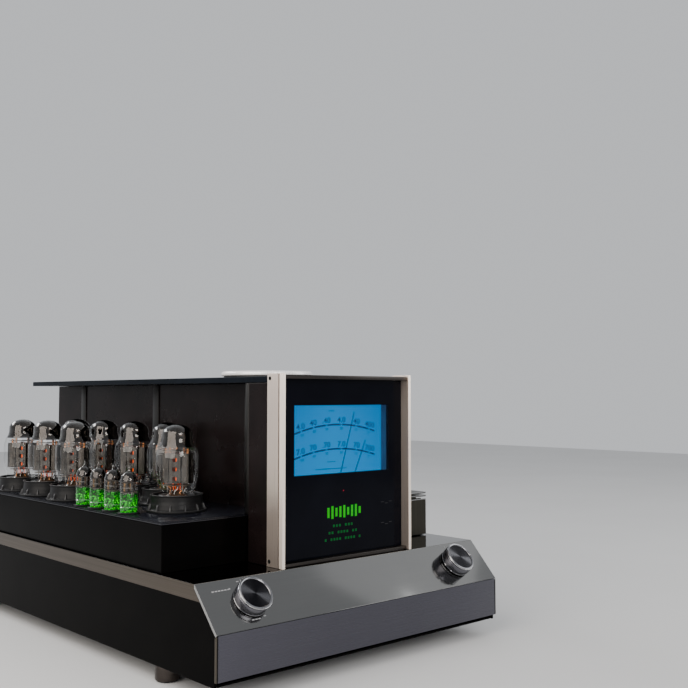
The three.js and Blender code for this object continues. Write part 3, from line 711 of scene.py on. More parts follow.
def make_front_panels():
    """The lower front plate and the sloping plate over it, with rounded rims and end strips; the sloping
    plate's end and top strips carry a painted highlight.
    """
    to_side = Matrix(((0, 0, 1, 0), (1, 0, 0, 0), (0, 1, 0, 0), (0, 0, 0, 1)))
    front = Shape()
    outline = [(0, FRONT_BOTTOM), (3.5, FRONT_BOTTOM), (3.5, BEVEL_LOW_Z - 2.5),
               (2.2, BEVEL_LOW_Z - 2.5), (0, BEVEL_LOW_Z - 0.6)]
    front.prism(outline, -HALF_WIDTH + 2.1, HALF_WIDTH - 2.1, 0, to_side, bevel=0.35)
    core = [(y + 0.5, z) for y, z in outline[:3]] + [(1.2, BEVEL_LOW_Z - 3)]
    front.prism(core, -HALF_WIDTH + 0.6, HALF_WIDTH - 0.6, 2, to_side)

    slope = Shape()
    back = (BEVEL_LENGTH - PLATE_THICKNESS * math.tan(BEVEL_ANGLE), -PLATE_THICKNESS)
    end_outline = [(0, -PLATE_THICKNESS), back, (BEVEL_LENGTH, 0), (0, 0)]
    plate = [(0.6, -PLATE_THICKNESS), back, (BEVEL_LENGTH - 0.6, 0), (0.6, 0)]
    slope.prism(plate, -HALF_WIDTH + 0.8, HALF_WIDTH - 0.8, 0, to_side, bevel=0.25)
    inside = HALF_WIDTH - 0.75
    slope.box((-inside, 0.05, -2.6), (inside, 0.7, 0), 0, bevel=0.3)
    # The strip along the slope's top edge is in the lighter finish: a painted highlight.
    slope.box((-inside, BEVEL_LENGTH - 0.9, -0.5), (inside, BEVEL_LENGTH - 0.25, 0), 1, bevel=0.2)

    # Slot 1 is the bronze end strip on the front plate and the painted highlight finish on the sloping
    # plate.
    for shape, ends, width, bevel in ((front, outline, 0.6, 0.3), (slope, end_outline, 0.7, 0.25)):
        for low in (-HALF_WIDTH, HALF_WIDTH - width):
            shape.prism(ends, low, low + width, 1, to_side, bevel=bevel)
    put(front, "front_plate", ("front", "front_edge", "groove"),
        replaces=["front_panel"])
    put(slope, "bevel_plate", ("bevel", "bevel_edge"), bevel_matrix(0, 0),
        replaces=["bevel_panel"])


KNOB_X = 165
KNOB_ALONG = 32
DASH_PITCH = 4.0
# Each row's start across, its place up the slope, and how many dashes it has.
BEVEL_DASHES = ((-206, 48.5, 6), (-171, 56, 1), (-157, 11, 1), (-173, 9, 3))


def make_bevel_marks():
    """Small plain index marks round the knobs in place of printed words."""
    marks = Shape()
    for x, angles in ((-KNOB_X, (135, 90, 45, 0)), (KNOB_X, (90, 45, 0))):
        for angle in angles:
            turn = Matrix.Rotation(math.radians(angle), 4, "Z")
            marks.box((24.2, -0.35, 0.02), (26.4, 0.35, 0.07), 0,
                      Matrix.Translation((x, KNOB_ALONG, 0)) @ turn)
    for x, along, count in BEVEL_DASHES:
        for k in range(count):
            start = x + k * DASH_PITCH
            marks.box((start, along, 0.02), (start + DASH_PITCH - 1.0, along + 1.2, 0.07))
    put(marks, "bevel_index_marks", ["print"], bevel_matrix(0, 0))


def make_knob(name, body, x, pointer_angle):
    """A turned knob: rolled rim, sunk spun face, small white pointer and a bright ring at its foot, with
    painted highlights on the rim's edge and the face.
    """
    knob = Shape()
    knob.lathe([(0, -17), (3.2, -17), (3.2, 1.0), (0, 1.0)], 0, segments=32)
    knob.lathe([(0, 1.0), (18.2, 1.0), (18.2, 2.4), (19.8, 2.5), (20.2, 2.9), (20.2, 11.6),
                (19.95, 12.0), (19.8, 12.15), (19.0, 12.15), (0, 12.15)], 0, segments=128)
    foot_ring = [(18.3, 1.0), (19.8, 1.0), (20.1, 1.3), (20.1, 1.9), (19.8, 2.2), (18.3, 2.2)]
    rim = [(18.6, 12.2), (19.7, 12.2), (20.15, 12.6), (20.2, 13.2), (20.15, 14.0), (19.9, 14.8),
           (19.4, 15.3), (18.8, 15.4), (17.9, 15.2), (17.3, 14.8), (17.1, 14.4), (17.1, 13.0),
           (18.6, 13.0)]
    # A thin bright chrome roll round the rim's outer edge, against the dark chrome rim: a painted
    # highlight.
    edge = arc(20.0, 14.2, 0.22, 0, 315, 7)
    for profile, slot in ((foot_ring, 1), (rim, 1), (edge, 4)):
        knob.lathe(profile, slot, segments=128, closed=True)
    knob.lathe([(0, 12.2), (17.0, 12.2), (17.0, 14.1), (0, 14.25)], 2, segments=128)
    notch = Matrix.Rotation(math.radians(pointer_angle), 4, "Z")
    knob.box((17.7, -0.6, 15.1), (19.4, 0.6, 15.45), 3, notch, bevel=0.1)
    knob.box((19.9, -0.6, 10.8), (20.22, 0.6, 14.3), 3, notch)
    put(knob, name, ("knob", "knob_rim", "knob_face", "print", "chrome"), bevel_matrix(x, KNOB_ALONG),
        body, [body])


# ---------------------------------------------------------------- tower


def make_posts():
    """Two flat uprights with a groove near the front of the outer face and a screw at each end."""
    for name, node, side in (("post_left", "left_post", -1), ("post_right", "right_post", 1)):
        x0, x1, front, back, bottom, top = span(node)
        inner, outer = sorted((abs(x0), abs(x1)))
        floor, skin = outer - 1.2, outer - 0.4
        body = [(inner, front + 0.4), (skin, front + 0.4), (skin, front + 6), (floor, front + 6),
                (floor, front + 8.2), (outer, front + 8.2), (outer, back), (inner, back)]
        face = [(inner + 0.15, front), (outer, front), (outer, front + 6), (skin - 0.1, front + 6),
                (skin - 0.1, front + 0.6), (inner + 0.15, front + 0.6)]
        post = Shape()
        post.prism([(side * x, y) for x, y in body], bottom, top, 0, bevel=0.3)
        # The front face and the strip before the groove take the lighter copy of the finish: painted
        # light.
        post.prism([(side * x, y) for x, y in face], bottom, top, 3, bevel=0.15)
        strip = sorted((side * (floor - 0.05), side * (floor + 0.15)))
        post.box((strip[0], front + 6.3, bottom + 0.2), (strip[1], front + 7.9, top - 0.2), 1)
        for z in (bottom + 6, top - 6):
            post.screw(side * outer, back - 4.6, z, side, 2, 2.4)
        put(post, name, ("champagne", "groove", "screw", "champagne_painted_light"),
            replaces=[node])


def make_rails():
    """Plain bars over and under the glass."""
    for name, node in (("rail_top", "top_rail"), ("rail_bottom", "bottom_rail")):
        lo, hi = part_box(node)
        rail = Shape().box(lo / MM, hi / MM, bevel=0.45)
        put(rail, name, ["rail"], Matrix(), replaces=[node])


GLASS_FACE = span("front_glass")[2]
MARK_FRONT = GLASS_FACE - 0.06
MARK_BACK = GLASS_FACE - 0.02


def make_glass():
    """Black back-painted glass round a clear window."""
    x0, x1, y0, _, z0, z1 = span("front_glass")
    _, wx, _, _, wz0, wz1 = span("meter_window")
    wx, wz0, wz1 = wx + 0.3, wz0 - 0.3, wz1 + 0.3
    y1 = y0 + 4
    glass = Shape()
    for low, high in (((x0, wz1), (x1, z1)), ((x0, z0), (x1, wz0)), ((x0, wz0), (-wx, wz1)),
                      ((wx, wz0), (x1, wz1))):
        glass.box((low[0], y0, low[1]), (high[0], y1, high[1]))
    put(glass, "glass_front", ["black_glass"], replaces=["front_glass"])
    window = Shape().box((-wx + 0.05, y0, wz0 + 0.05), (wx - 0.05, y0 + 0.6, wz1 - 0.05))
    put(window, "glass_window", ["clear_glass"], replaces=["meter_window"])


BARS_Z = FRONT_BOTTOM + 148
BAR_COUNT = 9
BAR_START = -26
BAR_PITCH = 6.4
BAR_WIDTH = 3.6
# Each row's height over the front plate's lower edge, and half its width.
BLOCK_ROWS = ((132, 17), (124, 24), (116, 30))
LAMP_Z = FRONT_BOTTOM + 173
DIM_DASH_ROWS = (154, 128)


def make_glass_marks():
    """Nine plain green bars, three rows of blocks under them, a red lamp and a few dim dashes."""
    lit = Shape()
    for k in range(BAR_COUNT):
        height = 4.0 + 3.6 * abs(math.sin(k * 1.1 + 0.6))
        x = BAR_START + k * BAR_PITCH
        lit.box((x, MARK_FRONT, BARS_Z - height), (x + BAR_WIDTH, MARK_BACK, BARS_Z + height), 0)
    for row, (z, half) in enumerate(BLOCK_ROWS):
        count = int(half / 2.2)
        step = 2 * half / count
        low = FRONT_BOTTOM + z - 1.6
        for k in range(count):
            if (k + row) % 5 != 3:
                x = -half + k * step
                lit.box((x, MARK_FRONT, low), (x + step * 0.62, MARK_BACK, low + 3.0), 1)
    lamp = Matrix.Translation((0, GLASS_FACE, LAMP_Z)) @ QUARTER_X
    lit.lathe([(0, 0), (0.8, 0), (0.6, 0.2), (0, 0.3)], 2, lamp, segments=24)
    for z in DIM_DASH_ROWS:
        for k in range(3):
            low = FRONT_BOTTOM + z - 2 * (k % 2)
            lit.box((64 + k * 7, MARK_FRONT + 0.01, low), (69 + k * 7, MARK_BACK, low + 1.0), 3)
    put(lit, "glass_marks", ("green_mark", "green_text", "led", "dim_mark"))


DIAL_FACE = span("meter_dial")[2]
SCALE_RADIUS = 229.8
SCALE_X = 4.4
SCALE_TOPS = (FRONT_BOTTOM + 252.4, FRONT_BOTTOM + 222.6)
SCALE_STATIONS = (-56.6, -37.2, -16.5, 8.0, 33.2, 55.7)
SCALE_START = -85
SCALE_END = 66.2
SCALE_GAP = 2.4
SCALE_LINE = 1.9
DIGIT_WIDTH = 1.22
PRINT_BACK = DIAL_FACE - 0.02
LARGE_NUMBERS = (("4.0", "40", ".40", "4.0", "40", "400"), ("7.0", "70", ".70", "7.0", "70", "700"))
SMALL_NUMBERS = (("50", "40", "30", "20", "10", "0"),) * 2


def make_dial():
    """The lit scale plate with two arcs, each broken by a fine gap under every number."""
    x0, x1, y0, _, z0, z1 = span("meter_dial")
    plate = Shape().box((x0, y0, z0), (x1, y0 + 1.2, z1))
    put(plate, "dial_plate", ["dial"], replaces=["meter_dial"])

    scale = Shape()
    ends = (SCALE_START,) + SCALE_STATIONS + (SCALE_END,)
    for top in SCALE_TOPS:
        for left, right in zip(ends, ends[1:]):
            add_scale_band(scale, top, left + SCALE_GAP / 2, right - SCALE_GAP / 2)
    upper, lower = SCALE_TOPS
    for z, half in ((upper + 17, 5), (lower - 15.5, 7), (lower - 24, 26)):
        count = int(half / 1.6)
        step = 2 * half / count
        for k in range(count):
            x = SCALE_X - 8 - half + k * step
            scale.box((x, DIAL_FACE - 0.09, z - 0.6), (x + step * 0.66, PRINT_BACK, z + 0.6), 1)
    put(scale, "dial_scale", ("dial_print", "dial_faint"))
    make_dial_numbers("dial_numbers", "dial_number", 9.0, 2.9, LARGE_NUMBERS, 0.07)
    make_dial_numbers("dial_small_numbers", "dial_faint", 4.4, -6.4, SMALL_NUMBERS, 0.02)


def add_scale_band(scale, top, left, right):
    """A short piece of a scale's arc, between two distances from the scale's middle."""
    count = 6
    points = []
    for radius in (SCALE_RADIUS - SCALE_LINE / 2, SCALE_RADIUS + SCALE_LINE / 2):
        for k in range(count + 1):
            a = math.asin((left + (right - left) * k / count) / SCALE_RADIUS)
            x, z = SCALE_X + radius * math.sin(a), top - SCALE_RADIUS + radius * math.cos(a)
            points += [(x, DIAL_FACE - 0.12, z), (x, PRINT_BACK, z)]
    row = 2 * (count + 1)
    faces = []
    for k in range(count):
        a, b = 2 * k, 2 * k + 2
        faces += [[a, b, b + row, a + row], [a + 1, a + 1 + row, b + 1 + row, b + 1],
                  [a, a + 1, b + 1, b], [a + row, b + row, b + 1 + row, a + 1 + row]]
    last = 2 * count
    faces += [[0, row, row + 1, 1], [last, last + 1, last + 1 + row, last + row]]
    scale.add(points, faces, 0)


def make_dial_numbers(name, key, size, rise, rows, weight):
    """Plain numbers over or under the arcs, made as one mesh from the built-in letter shapes."""
    made = []
    radius = SCALE_RADIUS + rise
    for top, words in zip(SCALE_TOPS, rows):
        for offset, word in zip(SCALE_STATIONS, words):
            a = math.asin(offset / SCALE_RADIUS)
            curve = bpy.data.curves.new("number", "FONT")
            curve.body = word
            curve.size = size * MM
            curve.offset = weight * MM
            curve.extrude = 0.05 * MM
            curve.resolution_u = 3
            curve.align_x = "CENTER"
            text = bpy.data.objects.new("number", curve)
            bpy.context.scene.collection.objects.link(text)
            x = SCALE_X + radius * math.sin(a)
            z = top - SCALE_RADIUS + radius * math.cos(a)
            lean = Matrix.Rotation(a * 0.6, 4, "Y")
            widen = Matrix.Scale(DIGIT_WIDTH, 4, Vector((1, 0, 0)))
            text.matrix_world = Matrix.Translation(at(x, DIAL_FACE - 0.1, z)) @ lean @ QUARTER_X @ widen
            made.append(text)
    bpy.ops.object.select_all(action="DESELECT")
    for text in made:
        text.select_set(True)
    bpy.context.view_layer.objects.active = made[0]
    bpy.ops.object.convert(target="MESH")
    bpy.ops.object.join()
    numbers = bpy.context.view_layer.objects.active
    numbers.name = name
    numbers.data.materials.clear()
    numbers.data.materials.append(MATERIALS[key])
    settle(numbers)


NEEDLE_PIVOT_Z = FRONT_BOTTOM + 172
# Each needle's node, which is its body too, its pivot across, its length and its lean in degrees.
NEEDLES = (("upper_needle", -0.6, 99.5, 17), ("lower_needle", 17, 66.5, 24.5))


def make_needles():
    """Thin tapered pointers on small hubs, each turning with its own meter movement."""
    for name, x, length, lean in NEEDLES:
        pointer = Shape()
        blade = [(-0.45, 0), (0.45, 0), (0.32, length), (-0.32, length)]
        pointer.prism(blade, -0.4, -0.15, 0, QUARTER_X)
        pointer.prism(arc(0, 0, 2.6, 0, 345, 23), -0.45, -0.05, 0, QUARTER_X)
        face = span(name)[2]
        spot = Matrix.Translation(at(x, face, NEEDLE_PIVOT_Z))
        put(pointer, f"{name}_pointer", ["ink"], spot @ Matrix.Rotation(math.radians(lean), 4, "Y"),
            name, [name])


# Where each strip starts and ends, counted back from the front.
UPRIGHTS = ((160, 174.5), (382, 397.5), (604, 619))


def make_uprights():
    """Flat strips that divide the tower's long side walls, and one behind each side of its front box."""
    strips = Shape()
    floor, roof = DECK_TOP + 1, span("tower_top_cover")[4] - 0.8
    wall = span("spine_housing")[1]
    for x0, x1 in ((-wall - 1.6, -wall - 0.1), (wall + 0.1, wall + 1.6)):
        for start, end in UPRIGHTS:
            strips.box((x0, start, floor), (x1, end, roof), bevel=0.4)
    left, _, _, front = span("tower_front_box")[:4]
    step = span("tube_plate")[5] + 0.4
    for x in (left + 0.2, -left - 4.6):
        strips.box((x, front + 0.2, step), (x + 4.4, front + 7.2, roof), bevel=0.4)
    put(strips, "tower_uprights", ["upright"])


def make_disc():
    """A silver disc with a broad rounded rim and a shallow dish, on a narrower dark plinth."""
    x0, x1, _, _, z0, z1 = span("top_disc")
    radius, height = (x1 - x0) / 2, z1 - z0
    rim = 3.6
    profile = [(0, 3.2), (radius - 1.6, 3.2), (radius - 0.5, 3.6), (radius, 4.4), (radius, height - rim)]
    profile += arc(radius - rim, height - rim, rim, 15, 90, 5)
    profile += [(radius - 9, height), (radius - 9.6, height - 0.3), (radius - 10.2, height - 1.0),
                (0, height - 1.2)]
    disc = Shape().lathe(profile, 0, segments=160)
    disc.lathe([(0, 0.1), (radius - 3.4, 0.1), (radius - 3.4, 3.4), (0, 3.4)], 1, segments=120)
    put(disc, "disc_on_top", ("disc", "socket"), place(*middle("top_disc")),
        replaces=["top_disc"])


# ---------------------------------------------------------------- tubes


def bulb_profile():
    """Outline of an output tube's glass, from inside its base up to the crown."""
    lower = [(20.6, 14), (20.8, 20), (21.8, 26), (23.6, 32), (25.3, 38), (26.0, 44), (26.0, 66),
             (25.6, 70), (24.4, 74), (22.6, 78), (20.6, 82), (19.7, 85), (19.4, 88), (19.4, 92)]
    crown = [(x, 92 + z) for x, z in ellipse(40, 19.4, 13)[1:10]]
    return lower + crown + [(0, 105)]


def make_output_tube_meshes():
    """One set of meshes that all the output tubes share: glass, getter film, electrodes and base."""
    outer = bulb_profile()
    glass = Shape().lathe(outer, 0, segments=72)
    film = [(r - 0.5 if r > 1 else 0, z - 0.5) for r, z in outer if z >= 78]
    getter = Shape().lathe([(film[0][0] - 0.2, film[0][1])] + film, 0, segments=72)

    inside = Shape()
    add_anode(inside)
    for z, radius in ((72.5, 18.5), (31.0, 17.5)):
        add_mica(inside, z, radius)
    for x, y in ellipse(4, 13.5, 8.5, math.pi / 4):
        inside.rod((x, y, 22), (x, y, 80), 0.6, 3)
    for x in (-8.5, 8.5):
        inside.rod((x, 0, 70), (x, 0, 77), 1.5, 2, 20)
        inside.rod((x * 1.6, 0, 66), (x * 1.6, 0, 75), 1.9, 2, 20)
    inside.lathe(arc(13, 82, 0.7, 0, 315, 7), 3, segments=40, closed=True)
    for y in (-4.5, 4.5):
        inside.rod((1.2, y, 34), (1.2, y, 69), 1.3, 4, 20)
    inside.rod((0, 0, 31.5), (0, 0, 71), 3.0, 5, 20)
    inside.lathe([(0, 10), (15, 10), (15.5, 17), (9, 21), (6.5, 24.5), (0, 25.5)], 5, segments=40)
    levels = ((18, 10, 10, 0), (23, 8.5, 8.5, 0), (27, 11, 7, 0.3), (31, 12, 6, 0.3))
    rings = [[(x, y, z) for x, y in ellipse(8, *shape)] for z, *shape in levels]
    for k, path in enumerate(zip(*rings)):
        inside.sweep(path, 0.55, 2 if k % 2 else 3)
    for low, high in zip(ellipse(4, 4, 4, math.pi / 5), ellipse(4, 5, 4, math.pi / 5)):
        inside.rod((*low, 25), (*high, 33), 0.35, 4, 12)
    base = Shape().lathe([(0, 0.2), (16, 0.2), (16.5, 0.7), (16.5, 8), (21.6, 9.5), (22, 10.5), (22, 19),
                          (21.4, 19.6), (20.9, 19.6), (0, 14)])
    return glass, getter, inside, base


ANODE_LOW = 33.5
ANODE_HIGH = 69.5
ANODE_HOLES = (38.8, 50.3, 61.8)
HOLE_RADIUS = 2.9


def add_anode(shape):
    """The pressed anode: flat centre strips with three holes, stepped cheeks and side fins."""
    for y in (-9.0, 9.0):
        for lower, upper in zip((ANODE_LOW,) + ANODE_HOLES, ANODE_HOLES + (ANODE_HIGH,)):
            add_strip_between(shape, y, lower, upper)
    half = [(7, 9.3), (9, 7.2), (16.5, 6.0), (18.5, 3.0), (20.5, 1.0)]
    step = half + [(x, -y) for x, y in half[::-1]]
    for side in (-1, 1):
        outline = [(side * x, y) for x, y in step]
        inner = [(side * (x - 0.9), y * 0.9) for x, y in step]
        shape.prism(outline + inner[::-1], ANODE_LOW, ANODE_HIGH)


def add_strip_between(shape, y, lower, upper):
    """The part of the anode's centre strip between two holes, or between a hole and an end."""
    width, thick = 7.0, 0.5
    below = arc(0, lower, HOLE_RADIUS, 180, 0, 8) if lower in ANODE_HOLES else []
    above = arc(0, upper, HOLE_RADIUS, 0, -180, 8) if upper in ANODE_HOLES else []
    flat = [(-width, lower)] + below + [(width, lower), (width, upper)] + above + [(-width, upper)]
    shape.prism(flat, 0, thick, 0, Matrix.Translation((0, y + thick / 2, 0)) @ QUARTER_X)


def add_mica(shape, z, radius):
    """A mica spacer: a thin disc with a saw-toothed rim."""
    corners = 28
    tips, roots = ellipse(corners, radius), ellipse(corners, radius - 1.3)
    shape.prism([tips[k] if k % 2 else roots[k] for k in range(corners)], z, z + 0.4, 1)


TUBE_TURN = -44
TUBE_TURN_SPREAD = 14


def make_output_tubes():
    """Eight output tubes, each turned a little differently in its socket."""
    glass, getter, inside, base = make_output_tube_meshes()
    electrode_keys = ("anode", "mica", "copper", "nickel", "heater", "stem")
    random.seed(4)
    for index in range(1, 9):
        node = f"output_tube_{index}"
        turn = math.radians(TUBE_TURN + random.uniform(-TUBE_TURN_SPREAD, TUBE_TURN_SPREAD))
        spot = place(*middle(node), turn)
        put(glass, f"bulb_glass_{index}", ["glass"], spot, replaces=[node], angle=60)
        put(getter, f"bulb_getter_{index}", ["getter"], spot, angle=60)
        put(inside, f"bulb_electrodes_{index}", electrode_keys, spot)
        put(base, f"bulb_base_{index}", ["socket"], spot)


GUSSETS = 12


def make_guards():
    """The moulded ring round each socket: rolled rim, waisted skirt, gussets and a bolted foot; the rim
    rolls and gussets are a lighter grey as a painted highlight.
    """
    ring = Shape()
    skirt = [(28.6, 0.1), (35.9, 0.1), (36.3, 0.5), (36.3, 2.0), (35.9, 2.4), (34.2, 2.5), (33.2, 3.4),
             (32.5, 5.2), (32.1, 8.6), (31.9, 9.4), (31.5, 10.0), (31.2, 14.0), (31.0, 18.2),
             (31.5, 18.7), (31.9, 19.2), (31.9, 19.9), (31.5, 20.35), (30.6, 20.4), (29.6, 20.3),
             (29.2, 19.8), (28.9, 17.5)]
    ring.lathe(skirt, 0, segments=112, closed=True)
    # Thin rolls on the rim lips in the lighter finish: painted highlights.
    for radius, height in ((36.05, 2.2), (31.7, 20.2)):
        ring.lathe(arc(radius, height, 0.3, 0, 300, 5), 1, segments=112, closed=True)
    gusset = [(30.0, 1.0), (35.8, 1.0), (35.8, 2.6), (35.2, 4.4), (33.8, 8.4), (32.2, 9.6), (30.0, 9.6)]
    # The gussets take the lighter finish too: a painted highlight.
    for k in range(GUSSETS):
        turn = Matrix.Rotation(2 * math.pi * (k + 0.5) / GUSSETS, 4, "Z")
        ring.prism(gusset, -0.6, 0.6, 1, turn @ QUARTER_X, bevel=0.2)
    for index in range(1, 9):
        node = f"tube_guard_{index}"
        put(ring, f"guard_ring_{index}", ("guard", "guard_edge"), place(*middle(node)),
            replaces=[node])


def make_small_tubes():
    """Miniature tubes: a pipped bulb with a silvered crown, stacked electrodes and a green-lit foot."""
    outer = [(9.8, 3), (10.3, 4.5), (10.5, 7), (10.5, 37), (10.4, 39.4), (10.0, 41.8), (9.2, 44.2),
             (8.0, 46.2), (6.4, 47.8), (4.6, 48.8), (3.2, 49.3), (2.3, 49.9), (1.8, 51), (1.5, 53),
             (1.1, 55.6), (0.5, 57.4), (0, 57.8)]
    glass = Shape().lathe(outer, 0, segments=56)
    film = [(r - 0.4, z - 0.4) for r, z in outer if 37 < z < 50]
    getter = Shape().lathe([(10.1, 38.2)] + film + [(0, 49.2)], 0, segments=56)
    inside = Shape()
    for x in (-3.6, 3.6):
        inside.lathe([(0, 25.5), (2.9, 25.5), (2.9, 36.5), (0, 36.5)], 0, Matrix.Translation((x, 0, 0)),
                     segments=10)
        inside.box((x - 3.2, -1.6, 26), (x + 3.2, 1.6, 36), 2, bevel=0.5)
    for z in (24.8, 36.8):
        inside.lathe([(0, z), (9.3, z), (9.3, z + 0.4), (0, z + 0.4)], 1, segments=24)
    inside.lathe([(8.8, 30.4), (9.9, 30.4), (9.9, 31.0), (8.8, 31.0)], 3, segments=32, closed=True)
    for low, high in zip(ellipse(9, 6), ellipse(9, 5.2)):
        inside.rod((*low, 2), (*high, 25), 0.5, 3, 8)
    inside.lathe([(0, 1.6), (9.6, 1.6), (9.8, 3), (9.8, 6.4), (8.6, 7.2), (0, 7.4)], 4, segments=40)
    inside.lathe([(9.9, 8.6), (10.2, 8.6), (10.2, 22.6), (9.9, 22.6)], 4, segments=40, closed=True)
    inside.lathe([(0, 7.6), (3.4, 7.6), (2.8, 11), (1.2, 15), (2.0, 22.0), (0, 22.4)], 5, segments=24)
    collar_outline = [(10.6, 0.1), (12.6, 0.1), (12.9, 0.5), (12.9, 1.6), (12.4, 2.2), (10.9, 2.2)]
    collar = Shape().lathe(collar_outline, segments=48, closed=True)
    band_outline = [(10.6, 7.7), (11.0, 7.7), (11.15, 7.9), (11.0, 8.1), (10.6, 8.1)]
    band = Shape().lathe(band_outline, segments=48, closed=True)
    electrode_keys = ("anode", "mica", "brass", "nickel", "green", "green_core")
    for index in range(1, 5):
        node = f"small_tube_{index}"
        spot = place(*middle(node))
        put(glass, f"small_bulb_{index}", ["glass"], spot, replaces=[node], angle=60)
        put(getter, f"small_getter_{index}", ["small_getter"], spot, angle=60)
        put(inside, f"small_electrodes_{index}", electrode_keys, spot)
        put(collar, f"small_collar_{index}", ["guard"], spot)
        put(band, f"small_band_{index}", ["chrome"], spot)


def make_tube_plate():
    """The sheet the tubes stand on, over a slightly smaller one with a shadow line under it."""
    x0, x1, y0, y1, z0, z1 = span("tube_plate")
    plate = Shape()
    plate.box((x0 + 3.2, y0 + 3.2, z1 - 0.35), (x1, y1, z1), 0, bevel=0.1)
    plate.box((x0 + 3.25, y0 + 3.25, z1 - 1.2), (x1 - 0.05, y1 - 0.05, z1 - 0.36), 1)
    plate.box((x0, y0, z1 - 1.55), (x1, y1, z1 - 1.25), 0, bevel=0.1)
    plate.box((x0 + 0.05, y0 + 0.05, z0 + 0.4), (x1 - 0.05, y1 - 0.05, z1 - 1.56), 1)
    plate.box((x0 + 2.4, y0 + 2.4, z0), (x1 - 0.6, y1 - 1, z0 + 0.4), 2)
    put(plate, "tube_plate_top", ("plate", "plate_edge", "groove"),
        replaces=["tube_plate"])


# ---------------------------------------------------------------- heat sink

FIN_COUNT = 58
FIN_THICKNESS = 2.4
COVER_SHEET = 2.2
STANDOFFS = 6


def make_heat_sink():
    """A long bank of thin upright fins on a base web, with a two-layer cover over it; thin strips on the
    sink's front edges and round the cover sheets carry a painted highlight.
    """
    x0, x1, y0, y1, under, z1 = span("heat_sink")
    z0 = under + 1.0
    sink = Shape()
    sink.box((x0, y0 + 0.2, z0), (x0 + 8, y1, z1), 0, bevel=0.4)
    for x in (x0, x1 - 1.0):
        # Thin strips on the front edges in the light edge finish: a painted highlight.
        sink.box((x, y0, z0), (x + 1.0, y0 + 0.5, z1), 2, bevel=0.2)
    sink.box((x0 + 0.9, y0, z1 - 1.1), (x1 - 0.9, y0 + 0.5, z1), 2, bevel=0.2)
    pitch = (y1 - y0 - 0.2 - FIN_THICKNESS) / (FIN_COUNT - 1)
    for k in range(FIN_COUNT):
        y = y0 + 0.2 + k * pitch
        sink.box((x0 + 7.8, y, z0), (x1, y + FIN_THICKNESS, z1), 0, bevel=0.35, segments=1)
    sink.box((x0 + 3, y0 + 4, under + 0.1), (x1 - 0.6, y1 - 4, z0 + 0.2), 1, bevel=0.3)
    put(sink, "heat_sink_fins", ("fin", "paint", "fin_edge"), replaces=["heat_sink"])

    z0, z1 = span("heat_sink_cover")[4:]
    cover = Shape()
    for low, high in ((z0, z0 + COVER_SHEET), (z1 - COVER_SHEET, z1)):
        cover.box((x0 + 0.25, y0 + 0.25, low), (x1 - 0.25, y1 - 0.25, high - 0.05), 2, bevel=0.3)
        # Strips round each sheet's edges in the light edge finish: a painted highlight.
        for x in (x0, x1 - 0.7):
            cover.box((x, y0, high - 1.2), (x + 0.7, y1, high), 0, bevel=0.15)
        for y in (y0, y1 - 0.7):
            cover.box((x0 + 0.5, y, high - 1.2), (x1 - 0.5, y + 0.7, high), 0, bevel=0.15)
    for k in range(STANDOFFS):
        y = y0 + 20 + k * (y1 - y0 - 40) / (STANDOFFS - 1)
        for x in (x0 + 12, x1 - 12):
            cover.rod((x, y, z0 - 3.0), (x, y, z1 - 1.5), 3.0, 1)
    put(cover, "heat_sink_top", ("fin_edge", "screw", "fin"), replaces=["heat_sink_cover"])


# ---------------------------------------------------------------- feet


def make_feet():
    """Turned feet with a rubber pad under each."""
    foot = Shape()
    foot.lathe([(0, 0), (11.2, 0), (11.8, 0.3), (12.0, 1.0), (12.0, 1.6), (0, 1.6)], 1)
    foot.lathe([(0, 1.62), (13.2, 1.62), (13.8, 2.0), (14, 2.6), (14, 17.8), (13.7, 18.7), (13, 19.2),
                (0, 19.2)], 0)
    for corner in ("front_left", "front_right", "rear_left", "rear_right"):
        node = f"foot_{corner}"
        put(foot, f"foot_turned_{corner}", ("foot", "rubber"), place(*middle(node)),
            replaces=[node])


# ---------------------------------------------------------------- rear

REAR_FACE = span("rear_panel")[3]
THREAD_TURNS = 16
THREAD_PITCH = 0.95
# Each cap's node, its body, and the material of the ring behind it in the terminal block.
CAPS = (("terminal_cap_negative", "negative_cap", 3), ("terminal_cap_positive", "positive_cap", 2))


def on_rear(x, lift, z):
    """A matrix for a part that stands out of the rear panel, its Z pointing away from it."""
    return Matrix.Translation((x, REAR_FACE + lift, z)) @ TO_REAR


def make_terminals():
    """The output terminals: a block with two threaded posts, coloured rings and four screws."""
    x0, x1, _, _, z0, z1 = span("output_terminal")
    z = (z0 + z1) / 2
    block = Shape()
    block.box((x0, REAR_FACE + 0.2, z0), (x1, REAR_FACE + 6.3, z1), 0, bevel=1.2, segments=3)
    thread = [(0, 0), (4, 0)]
    for k in range(THREAD_TURNS):
        thread += [(4.0, 0.6 + k * THREAD_PITCH), (3.6, 1.05 + k * THREAD_PITCH)]
    thread += [(3.4, 16.2), (0, 16.2)]
    for cap, _, ring_slot in CAPS:
        stud = on_rear(middle(cap)[0], 5, z)
        block.lathe(thread, 1, stud, segments=28)
        block.lathe([(9.6, 1.0), (13.0, 1.0), (13.0, 1.9), (9.6, 1.9)], ring_slot, stud, segments=48,
                    closed=True)
    head = [(0, 0), (2.6, 0), (2.6, 0.9), (1.6, 1.4), (1.3, 1.4), (1.2, 0.6), (0, 0.6)]
    for x in (x0 + 6, x1 - 6):
        for screw_z in (z - 20, z + 20):
            block.lathe(head, 4, on_rear(x, 6.2, screw_z), segments=24)
    put(block, "terminal_block", ("socket", "gold", "red_ring", "groove", "screw"),
        replaces=["output_terminal"])


